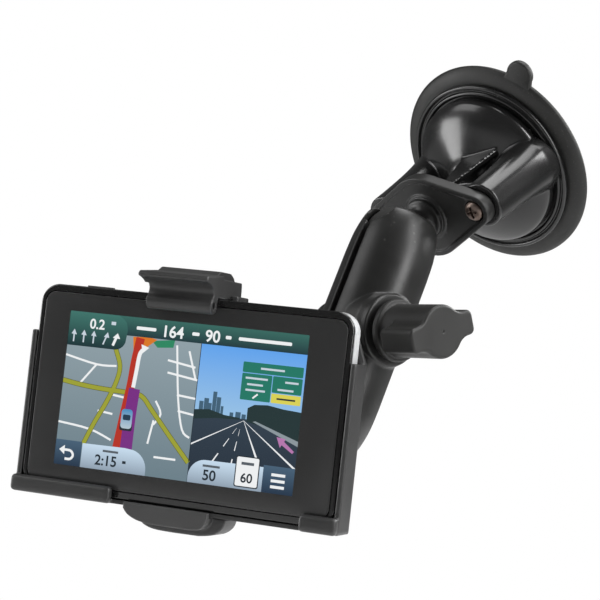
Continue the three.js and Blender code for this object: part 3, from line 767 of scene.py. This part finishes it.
def make_cradle():
    back = panel([
        (-OUTER, SHELF_BOTTOM), (OUTER, SHELF_BOTTOM), (OUTER, 20), (OUTER - 4, 30), (15.5, 30), (12.7, 35),
        (-20.7, 35), (-23.5, 30), (4 - OUTER, 30), (-OUTER, 20),
    ], WALL_FRONT, WALL_BACK)
    parts = [back, block((-OUTER, 0, SHELF_BOTTOM), (OUTER, WALL_BACK, SHELF_TOP))]
    for side in (-1, 1):
        left, right = sorted((side * INNER, side * OUTER))
        parts.append(block((left, -0.4, SHELF_BOTTOM), (right, WALL_BACK, 20)))
    for left, right in ((-OUTER, LIP_LEFT), (LIP_RIGHT, OUTER)):
        parts.append(eased(bar_along_x(lip_section(), left, right), 1.2, 4, 60))
        parts.append(block((left + 1, -1.1, SHELF_BOTTOM), (right - 1, 0.5, SHELF_TOP)))
    for left in (LATCH_LEFT - 3.3, LATCH_RIGHT + 0.3):
        parts.append(block((left, WALL_FRONT, 28), (left + 3, 20.5, 39.5)))
    cuts = []
    for left, right in ((-54, -21), (-13, 20)):
        cuts.append(shift(panel(rounded_rectangle(right - left, 42, 2), WALL_FRONT - 1, WALL_BACK + 1),
                          (left + right) / 2, 0, -5))
    plate = Vector(IN_NAVIGATOR.inverted() @ lower_centre)
    for side in (-1, 1):
        for radius, depth in ((2.4, 20), (3.8, 11.7)):
            hole = swing(rod(radius, 0, depth), "X", -90)
            cuts.append(shift(hole, plate.x, 0, plate.z + side * PLATE_HOLE))
    pivot = shift(along_x(rod(1.65, -30, 30)), 0, LATCH_PIVOT.y, LATCH_PIVOT.z)
    mesh = worked(parts, [*cuts, pivot], grain=0.48, soften=3)
    piece("cradle_moulding", mesh, IN_NAVIGATOR, "cradle", cradle_plastic,
          ["cradle_shell"], 60)


def make_chin():
    seam = SHELF_BOTTOM - 0.3
    plate = [
        (-17.7, seam), *flow([(-17.2, -40.8), (-15.4, -42.4), (-12, -43.8), (-7.5, -44.6)], 4),
        *flow([(9, -44.6), (12.4, -44), (14.4, -42.2), (15.1, seam)], 4),
    ]
    body = [
        (-15.4, seam), *flow([(-14.6, -42.4), (-12.2, -45.2), (-7.6, -46.7), (0, -47)], 4),
        *flow([(10, -46.9), (15.6, -45.8), (18.9, -43.2), (20, seam)], 4),
    ]
    parts = [
        eased(panel(plate, CHIN_FRONT, 3), 0.5, 3, 50), eased(panel(body, 3.4, 15), 1.2, 4, 50),
        panel(moved(plate, 0, 0.6), 0.5, 4),
        block((-17.7, CHIN_FRONT, seam - 0.5), (15.1, -0.3, SHELF_TOP)),
    ]
    mesh = worked(parts, grain=0.25, soften=3)
    piece("chin_tongue", mesh, IN_NAVIGATOR, "cradle", chin_plastic, ["cradle_chin"], 60)




def latch_section():
    return [
        (12.6, 38), (-0.3, 38), *arc(BAR_Y, BAR_Z, 3, 20, -200, 18),
        *flow([(-5.1, 37.2), (-4.6, 39.2), (-6.1, 41.1), (-9, 42.3), (-11.6, 42.9)], 5),
        (-12, 43.4), (-12, 43.9), (-11, 44.9), *flow([(4, 46.2), (7, 47.7)], 3),
        *flow([(16, 47.7), (20, 45.4), (21, 40), (20.4, 35)], 5), (17.6, 32.6), (14.4, 32.8), (12.6, 35),
    ]


def make_latch():
    centre = (LATCH_LEFT + LATCH_RIGHT) / 2
    cuts = [
        shift(along_x(rod(1.65, LATCH_LEFT - 1, LATCH_RIGHT + 1)), 0, LATCH_PIVOT.y, LATCH_PIVOT.z),
        block((centre - 4.5, 12, 30), (centre + 4.5, 24, 40)),
        shift(along_x(rod(1.2, LATCH_LEFT - 1, LATCH_RIGHT + 1)), 0, BAR_Y, BAR_Z),
        block((LATCH_RIGHT - 3, 3, 44.8), (LATCH_RIGHT + 4, 26, 52)),
        block((LATCH_LEFT - 1, -8, 30), (LATCH_LEFT + 1.6, 0.6, 41)),
    ]
    hook = eased(bar_along_x(latch_section(), LATCH_LEFT, LATCH_RIGHT), 0.5, 3, 60)
    mesh = worked([hook], cuts, grain=0.24, soften=3)
    piece("latch_hook", mesh, IN_NAVIGATOR, "latch", cradle_plastic, ["latch"], 60)


# ---- Navigator ----

GLASS_WIDTH, GLASS_HEIGHT, GLASS_CORNER, GLASS_BACK = 117.9, 69.4, 4, 1.2
SCREEN_WIDTH, SCREEN_HEIGHT = 93.6, 56.2
SCREEN_X, SCREEN_Z = -1.7, 0.1
POCKET = 0.3             # depth of the lit picture in the glass


def make_glass():
    outline = rounded_rectangle(GLASS_WIDTH, GLASS_HEIGHT, GLASS_CORNER)
    plate = eased(panel(outline, 0, GLASS_BACK), 0.25, 3, 60)
    lit = rounded_rectangle(SCREEN_WIDTH, SCREEN_HEIGHT, 0.3, 2)
    window = shift(panel(lit, -1, POCKET), SCREEN_X, 0, SCREEN_Z)
    piece("front_glass", worked([plate], [window]), IN_NAVIGATOR, "cradle", glass_border,
          ["touch_glass"])


def make_casing():
    frame_ring = worked(
        [eased(panel(rounded_rectangle(CASE_WIDTH, CASE_HEIGHT, 7, 16), 0.1, 1.9), 0.6, 4, 60)],
        [panel(rounded_rectangle(GLASS_WIDTH + 0.6, GLASS_HEIGHT + 0.6, GLASS_CORNER, 16), -1, 4)],
    )
    piece("black_bezel", frame_ring, IN_NAVIGATOR, "cradle", bezel_plastic,
          ["front_bezel"])
    outside = panel(rounded_rectangle(CASE_WIDTH, CASE_HEIGHT, 7, 16), 2.2, CASE_BACK)
    rim = [
        e for e in outside.edges
        if e.calc_face_angle() > 1 and min(v.co.y for v in e.verts) > CASE_BACK - 0.1
    ]
    bmesh.ops.bevel(outside, geom=rim, offset=2.2, segments=6, profile=0.5, affect="EDGES", material=-1)
    top = CASE_HEIGHT / 2
    left = -CASE_WIDTH / 2
    cuts = [
        panel(rounded_rectangle(CASE_WIDTH - 3, CASE_HEIGHT - 3, 5.5), 1.2, CASE_BACK - 1.4),
        block((left - 1, 4, 23.8), (left + 4, 8, 32.2)),
        block((26.8, 4.2, top - 4), (39.2, 6.2, top + 1)),
        block((-45.3, 4.4, top - 4), (-34.7, 7.2, top + 1)),
    ]
    for i in range(4):
        cuts.append(block((-46 + 3 * i, CASE_BACK - 3, -24), (-44.6 + 3 * i, CASE_BACK + 1, -12)))
    piece("silver_housing", worked([outside], cuts), IN_NAVIGATOR, "cradle",
          silver_plastic, ["rear_housing"])


# ---- The lit picture on the screen: thin flat shapes laid one on another ----

WHITE = (0.92, 0.94, 0.95)
PALE = (0.62, 0.7, 0.78)
DARK = (0.02, 0.03, 0.04)
BAR_TOP, BAR_BOTTOM = (0.045, 0.155, 0.13), (0.018, 0.045, 0.055)
LAND, LAND_PALE = (0.16, 0.23, 0.27), (0.32, 0.4, 0.44)
YELLOW, ORANGE, RED, PURPLE = (0.36, 0.38, 0.04), (0.75, 0.2, 0.02), (0.5, 0.035, 0.02), (0.2, 0.03, 0.24)
SKY_TOP, SKY_LOW = (0.07, 0.34, 0.92), (0.34, 0.58, 0.84)
ROAD, TREES, TOWERS = (0.02, 0.032, 0.05), (0.02, 0.04, 0.042), (0.06, 0.13, 0.2)
SIGN_GREEN, SIGN_YELLOW, PINK = (0.02, 0.2, 0.14), (0.75, 0.68, 0.1), (0.5, 0.2, 0.45)
BUTTON, BUTTON_LOW = (0.07, 0.13, 0.2), (0.02, 0.04, 0.075)
BOX_TOP, BOX_LOW = (0.62, 0.78, 0.93), (0.3, 0.38, 0.47)
LAYER = 0.02             # height of one layer of the picture


class Picture:
    """Flat coloured shapes in the plane of the screen, measured from its middle."""

    def __init__(self):
        self.bm = bmesh.new()
        self.ink = self.bm.loops.layers.float_color.new("ink")

    def lay(self, shape, layer, colour, low_colour=None):
        """Adds a flat mesh as a thin closed tile. A second colour makes a gradient from top to bottom."""
        grown = bmesh.ops.extrude_face_region(shape, geom=shape.faces[:])["geom"]
        raised = [v for v in grown if isinstance(v, bmesh.types.BMVert)]
        bmesh.ops.translate(shape, vec=(0, 0, LAYER / 2), verts=raised)
        bmesh.ops.recalc_face_normals(shape, faces=shape.faces)
        heights = [v.co.y for v in shape.verts]
        bottom, top = min(heights), max(heights)
        tile = bpy.data.meshes.new("tile")
        shape.to_mesh(tile)
        shape.free()
        start = len(self.bm.faces)
        tile.transform(Matrix.Translation((0, 0, layer * LAYER)))
        self.bm.from_mesh(tile)
        bpy.data.meshes.remove(tile)
        self.bm.faces.ensure_lookup_table()
        for face in self.bm.faces[start:]:
            for loop in face.loops:
                t = (loop.vert.co.y - bottom) / max(top - bottom, 1e-6)
                low = low_colour or colour
                loop[self.ink] = (*[a * t + b * (1 - t) for a, b in zip(colour, low)], 1)

    def fill(self, outline, layer, colour, low_colour=None):
        shape = bmesh.new()
        shape.faces.new([shape.verts.new((x, y, 0)) for x, y in outline])
        self.lay(shape, layer, colour, low_colour)

    def stroke(self, points, width, layer, colour, end_width=None):
        """A line of that width through the points, tapering to its end width."""
        end_width = width if end_width is None else end_width
        left, right = [], []
        for i, (x, y) in enumerate(points):
            ahead, behind = points[min(i + 1, len(points) - 1)], points[max(i - 1, 0)]
            along = Vector((ahead[0] - behind[0], ahead[1] - behind[1])).normalized()
            half = (width + (end_width - width) * i / (len(points) - 1)) / 2
            left.append((x - along.y * half, y + along.x * half))
            right.append((x + along.y * half, y - along.x * half))
        self.fill(left + right[::-1], layer, colour)

    def figures(self, text, x, y, size, layer, colour):
        curve = bpy.data.curves.new("figures", "FONT")
        curve.body = text
        curve.size = size
        curve.offset = size * 0.02
        curve.align_x = "CENTER"
        obj = bpy.data.objects.new("figures", curve)
        bpy.context.scene.collection.objects.link(obj)
        bpy.context.view_layer.update()
        mesh = bpy.data.meshes.new_from_object(obj.evaluated_get(bpy.context.evaluated_depsgraph_get()))
        bpy.data.objects.remove(obj)
        mesh.transform(Matrix.Translation((x, y, 0)))
        shape = bmesh.new()
        shape.from_mesh(mesh)
        bmesh.ops.remove_doubles(shape, verts=shape.verts, dist=1e-4)
        self.lay(shape, layer, colour)


def box_outline(left, bottom, right, top, radius=0.0, steps=5):
    if not radius:
        return [(left, bottom), (right, bottom), (right, top), (left, top)]
    outline = rounded_rectangle(right - left, top - bottom, radius, steps)
    return moved(outline, (left + right) / 2, (bottom + top) / 2)


DIVIDER = 6.4
LEFT, RIGHT = -SCREEN_WIDTH / 2, SCREEN_WIDTH / 2
BOTTOM, TOP = -SCREEN_HEIGHT / 2, SCREEN_HEIGHT / 2
BAR_FOOT = 21.2


def draw_map(p):
    p.fill(box_outline(LEFT, BOTTOM, DIVIDER, TOP), 0, LAND_PALE, LAND)
    for street in (
        [(LEFT, 12), (-34, 9.6), (-26, 9.8)], [(-40, 2), (-34, 9.6)], [(LEFT, -12.6), (-34, -14), (-25, -17)],
        [(-31.5, -7), (-25.5, -7.6)], [(-27, -0.6), (-21.5, -1.2)], [(-9, -1), (-6.5, -5.5), (-9, -9.6)],
        [(-9, -8), (-10.4, -16.6)], [(-7.4, -21), (1.2, -21)],
        [(-3, 19.6), (-0.4, 1), (2.4, -10), (5.6, -12.6)], [(-6, 14), (5, 12.4)], [(-5.6, 9.6), (DIVIDER, 8)],
        [(-1, 2), (DIVIDER, 1.4)], [(0, -3.6), (DIVIDER, -4.4)], [(2, 18), (5.6, 8)],
        [(-45, 16.6), (-36, 17.4)],
    ):
        p.stroke(flow(street, 4), 0.75, 1, WHITE)
    for road in (
        [(LEFT, 2.6), (-39, 1.6), (-30, 1), (-22, 0.8), (-15, 0.2), (-10, -4.6), (-2, -13),
         (DIVIDER - 0.2, -21.4)],
        [(-36, -20), (-32.4, -11.6), (-28.6, -4), (-25.4, 4), (-24.6, 10), (-27, 16), (-28, 20)],
    ):
        p.stroke(flow(road, 4), 1.9, 2, (0.12, 0.12, 0.02))
        p.stroke(flow(road, 4), 1.5, 3, YELLOW)
    p.fill([(-20.6, 21), (-14, 21.4), (-11, 20.8), (-17, 16), (-19.4, 12)], 3, ORANGE)
    route = flow([(-17.6, 20.8), (-18.8, 12), (-19.4, 4), (-21, -8), (-22.6, -21)], 5)
    p.stroke(route, 3.4, 4, RED, 3.2)
    p.stroke(flow([(-17.8, 2.4), (-18.4, -8), (-18.6, -21)], 5), 4.4, 5, PURPLE, 4.8)
    p.stroke(flow([(-18.4, 2.8), (-17.8, 9), (-17.2, 15), (-15.6, 17)], 5), 1.5, 6, WHITE)
    p.fill([(-17, 18.6), (-13.8, 17.6), (-16.2, 15.4)], 6, WHITE)
    p.fill([(-13, 20.2), (-4, 21.4), (-4.4, 18.6), (-10.6, 18)], 2, (0.03, 0.26, 0.13))


def draw_car(p, x, y):
    p.fill(box_outline(x - 2.5, y - 4.2, x + 2.5, y - 1.4, 0.7), 7, DARK)
    p.fill(box_outline(x - 2.2, y - 3.4, x + 2.2, y + 3.6, 1.2), 8, (0.06, 0.28, 0.55), (0.5, 0.62, 0.7))
    p.fill(box_outline(x - 1.5, y - 0.4, x + 1.5, y + 1.6, 0.5), 9, (0.02, 0.05, 0.09))


def draw_junction(p):
    horizon = -3.6
    p.fill(box_outline(DIVIDER, horizon, RIGHT, TOP), 0, SKY_TOP, SKY_LOW)
    p.fill(box_outline(DIVIDER, BOTTOM, RIGHT, horizon), 0, (0.035, 0.055, 0.08), ROAD)
    towers = [(8, 1.6, 1), (9.8, 1.8, 2.2), (11.6, 1.2, 0.6), (13, 1.5, 4.8), (14.6, 1.6, 3),
              (16.4, 1, 0), (20, 1.4, -1.8), (22.2, 2, -1.4), (24.6, 1.6, -2)]
    for left, width, top in towers:
        p.fill(box_outline(left, horizon, left + width, top), 1, TOWERS)
    p.fill([(DIVIDER, -5.6), (DIVIDER, -2.2), (12, -1.6), (18, -3), (24, -3.4), (24, -4), (15, -4.4)],
           2, TREES)
    p.fill([(26.6, -4.4), (26.6, 0.4), (29, 1.8), (34, 2.2), (40, 1.4), (RIGHT, 1), (RIGHT, -9.6), (36, -6)],
           2, TREES)
    p.fill([(29, -4.2), (RIGHT, -11), (RIGHT, -9.2), (30, -3.9)], 3, (0.28, 0.33, 0.36))
    for foot, width in (((DIVIDER, -14.6), 0.5), ((33.4, -19.8), 0.9), ((RIGHT, -19), 0.7)):
        p.stroke([foot, (25.6, -4.2)], width, 3, WHITE, 0.12)
    for foot in ((14, -22), (22, -24)):
        for start, stop in ((0.05, 0.3), (0.45, 0.62), (0.72, 0.84)):
            near = [a + (b - a) * start for a, b in zip(foot, (25, -4.2))]
            far = [a + (b - a) * stop for a, b in zip(foot, (25, -4.2))]
            p.stroke([near, far], 0.6 * (1 - start), 3, WHITE, 0.6 * (1 - stop))
    p.fill([(38.6, -8.4), (42, -8.8), (41.6, -9.8), (45.6, -12.8), (45, -13.6), (40.8, -11), (40.2, -12)],
           4, PINK)


def draw_signs(p):
    p.fill(box_outline(23.2, 12.9, 46, 16.6, 0.4), 4, SIGN_GREEN)
    p.fill(box_outline(23.2, 3.2, 34.6, 12.6, 0.4), 4, SIGN_GREEN)
    p.fill(box_outline(34.9, 6.8, 46, 12.6, 0.4), 4, SIGN_GREEN)
    p.fill(box_outline(34.9, 3.2, 46, 6.5, 0.3), 4, SIGN_YELLOW)
    for left, y, right in (
        (30, 14.7, 39), (24.6, 11, 33), (25.4, 8.8, 31.4), (25, 6.8, 32.4), (39.6, 10.8, 44.6), (37, 8, 43),
    ):
        p.stroke([(left, y), (right, y)], 0.7, 5, PALE)
    p.stroke([(28, 4), (29.8, 5.6)], 0.6, 5, WHITE)
    p.stroke([(37, 4.8), (44, 4.8)], 0.6, 5, DARK)


def draw_bar(p):
    p.fill(box_outline(LEFT, BAR_FOOT, RIGHT, TOP), 5, BAR_TOP, BAR_BOTTOM)
    corner = [(LEFT, 15.6), *arc(-27.6, 20, 4.4, -90, -20, 6), *flow([(-23, 23), (-24, 26), (-27, TOP)], 4),
              (LEFT, TOP)]
    p.fill(corner, 6, (0.055, 0.19, 0.16), (0.012, 0.035, 0.042))
    p.figures("0.2", -35.4, 22.4, 5, 7, WHITE)
    p.stroke([(-29.8, 25), (-28, 25)], 1.2, 7, PALE)
    for i in range(5):
        chosen = i == 4
        x = -44.4 + 4 * i
        lean = 0 if i < 3 else 1.2
        shade, width = (WHITE, 1.0) if chosen else (PALE, 0.55)
        p.stroke([(x, 17), (x + lean, 20.2)], width, 7, shade)
        head = 1.5 if chosen else 1.1
        p.fill([(x + lean * 1.3, 21.6), (x + lean - head, 19.8), (x + lean + head, 19.6)], 7, shade)
    p.figures("164", -5.2, 22.2, 5.8, 7, WHITE)
    p.figures("90", 10.4, 22.2, 5.8, 7, WHITE)
    for left, right in ((-19.6, -11.8), (2.4, 5.2), (15.4, 17.6), (20.4, 40.6)):
        p.fill(box_outline(left, 23.7, right, 24.9, 0.4), 7, WHITE)


def draw_boxes(p):
    foot, head = BOTTOM, -19.4
    p.fill(box_outline(LEFT, foot, -36.2, head + 0.4), 6, BUTTON, BUTTON_LOW)
    hook = flow([(-43.4, -22.6), (-40.6, -22.7), (-39.4, -24.2), (-40.4, -25.7), (-42.6, -25.8)], 4)
    p.stroke(hook, 0.9, 7, WHITE)
    p.fill([(-43, -20.9), (-43, -24.3), (-45.2, -22.6)], 7, WHITE)
    p.fill([(-36, foot), (-36, head), (-19, head + 0.2), *arc(-17, -26.4, 7, 80, 0, 8), (-10, foot)],
           6, BOX_TOP, BOX_LOW)
    p.figures("2:15", -26, -26.4, 5.2, 8, DARK)
    p.stroke([(-27.6, -21.2), (-21.4, -21.2)], 0.8, 8, (0.1, 0.12, 0.14))
    p.stroke([(-19.4, -24.4), (-18, -24.4)], 1.0, 8, DARK)
    p.fill([(6.6, foot), *arc(13, -26, 6.4, 180, 95, 8), (35, head), (35, foot)], 6, BOX_TOP, BOX_LOW)
    p.figures("50", 14.8, -26.6, 5.2, 8, DARK)
    p.stroke([(12, -21.6), (18.6, -21.6)], 0.8, 8, (0.1, 0.12, 0.14))
    p.fill(box_outline(24.4, -27.4, 33.6, -16.4, 0.8), 7, DARK)
    p.fill(box_outline(24.8, -27, 33.2, -16.8, 0.6), 8, WHITE)
    p.figures("60", 29, -25.6, 4.6, 9, DARK)
    p.stroke([(26.6, -19), (31.4, -19)], 1.0, 9, (0.1, 0.12, 0.14))
    p.fill(box_outline(35, foot, RIGHT, head + 0.8), 6, BUTTON, BUTTON_LOW)
    for y in (-21.6, -23.7, -25.8):
        p.stroke([(38.2, y), (43.4, y)], 1.0, 7, WHITE)
    p.stroke([(DIVIDER, -21), (DIVIDER, BAR_FOOT)], 0.25, 5, DARK)


def screen_finish():
    made = Finish("lit screen", (0.004, 0.004, 0.004), 0.25, Specular_IOR_Level=0.15,
                  Emission_Strength=0.92)
    ink = add_node(made.tree, "ShaderNodeAttribute", attribute_name="ink")
    made.tree.links.new(ink.outputs["Color"], made.shader.inputs["Emission Color"])
    surface = made.group(GRAIN, Grain_Scale=2000.0)
    made.roughen(surface.outputs["Blotch"], 0.22, 0.3)
    return made.material


def make_screen():
    p = Picture()
    draw_map(p)
    draw_car(p, -19.6, -8.8)
    draw_junction(p)
    draw_signs(p)
    draw_bar(p)
    draw_boxes(p)
    bmesh.ops.transform(p.bm, matrix=Matrix.Translation((SCREEN_X, POCKET, SCREEN_Z)) @ Matrix.Rotation(
        math.pi / 2, 4, "X"), verts=p.bm.verts)
    piece("lit_picture", p.bm, IN_NAVIGATOR, "cradle", screen_finish(), sharp=20)


# ---- Camera, light and floor ----

CAMERA_PLACE = Vector((257.05, -583.73, 19.75))   # from the middle of the front glass
CAMERA_AIM = Vector((41.16, -2.92, 40.02))
CAMERA_ROLL = 6.26
CAMERA_LENS = 107.06


def make_camera():
    data = bpy.data.cameras.new("camera")
    data.lens = CAMERA_LENS
    data.sensor_width = 36
    data.clip_start = 0.01
    data.clip_end = 20
    camera = bpy.data.objects.new("camera", data)
    bpy.context.scene.collection.objects.link(camera)
    camera.location = IN_NAVIGATOR @ CAMERA_PLACE
    aim = (CAMERA_AIM - CAMERA_PLACE).to_track_quat("-Z", "Y")
    camera.rotation_mode = "QUATERNION"
    camera.rotation_quaternion = aim @ Quaternion((0, 0, 1), math.radians(CAMERA_ROLL))
    bpy.context.scene.camera = camera


def softbox(name, place, aim, width, height, power):
    data = bpy.data.lights.new(name, "AREA")
    data.shape = "RECTANGLE"
    data.size = width
    data.size_y = height
    data.energy = power
    lamp = bpy.data.objects.new(name, data)
    bpy.context.scene.collection.objects.link(lamp)
    lamp.location = place
    lamp.rotation_euler = (Vector(aim) - Vector(place)).to_track_quat("-Z", "Y").to_euler()
    return lamp


def pale_to_camera(tree, lit, shader_input, brightness):
    """What the camera sees directly is an even pale tone; what lights the object is the softer tone."""
    path = add_node(tree, "ShaderNodeLightPath")
    of_world = lit.bl_idname == "ShaderNodeBackground"
    seen = add_node(tree, "ShaderNodeBackground" if of_world else "ShaderNodeEmission",
                    Color=(1, 1, 1, 1), Strength=brightness)
    mix = add_node(tree, "ShaderNodeMixShader")
    tree.links.new(path.outputs["Is Camera Ray"], mix.inputs["Fac"])
    tree.links.new(lit.outputs[0], mix.inputs[1])
    tree.links.new(seen.outputs[0], mix.inputs[2])
    tree.links.new(mix.outputs[0], shader_input)


def make_studio():
    world = bpy.data.worlds.new("studio")
    bpy.context.scene.world = world
    world.use_nodes = True
    room = world.node_tree.nodes["Background"]
    room.inputs["Color"].default_value = (1, 1, 1, 1)
    room.inputs["Strength"].default_value = 0.11
    pale_to_camera(world.node_tree, room, world.node_tree.nodes["World Output"].inputs["Surface"], 1.0)

    low, high = cad_box[0], cad_box[1]
    centre = (Vector(low) + Vector(high)) / 2
    bm = bmesh.new()
    bmesh.ops.create_grid(bm, x_segments=1, y_segments=1, size=4)
    mesh = bpy.data.meshes.new("floor")
    shift(bm, centre.x, centre.y, low[2] - 0.12).to_mesh(mesh)
    bm.free()
    floor = bpy.data.objects.new("floor", mesh)
    bpy.context.scene.collection.objects.link(floor)
    pale = bpy.data.materials.new("pale floor")
    pale.use_nodes = True
    nodes = pale.node_tree.nodes
    nodes["Principled BSDF"].inputs["Base Color"].default_value = (0.8, 0.8, 0.8, 1)
    nodes["Principled BSDF"].inputs["Roughness"].default_value = 0.9
    pale_to_camera(pale.node_tree, nodes["Principled BSDF"], nodes["Material Output"].inputs["Surface"], 1.0)
    mesh.materials.append(pale)

    softbox("upper left", centre + Vector((-0.85, -0.5, 0.6)), centre, 0.6, 0.7, 3.6)
    softbox("low left", centre + Vector((-0.9, -0.25, -0.13)), centre, 0.4, 0.5, 4.5)
    softbox("right strip", centre + Vector((0.8, -0.2, 0.4)), centre, 0.16, 0.9, 6)
    softbox("overhead", centre + Vector((0.15, 0.1, 1.0)), centre, 0.7, 0.5, 5)
    softbox("back rim", centre + Vector((0.6, 0.6, 0.5)), centre, 0.6, 0.5, 8)
    scene = bpy.context.scene
    scene.view_settings.view_transform = "Standard"
    scene.view_settings.look = "None"


finish_cad_nodes()
make_membrane()
make_flange()
make_twist_body()
make_adapters()
make_screws()
make_arm()
make_knob()
make_cradle()
make_chin()
make_latch()
make_glass()
make_casing()
make_screen()
make_camera()
make_studio()
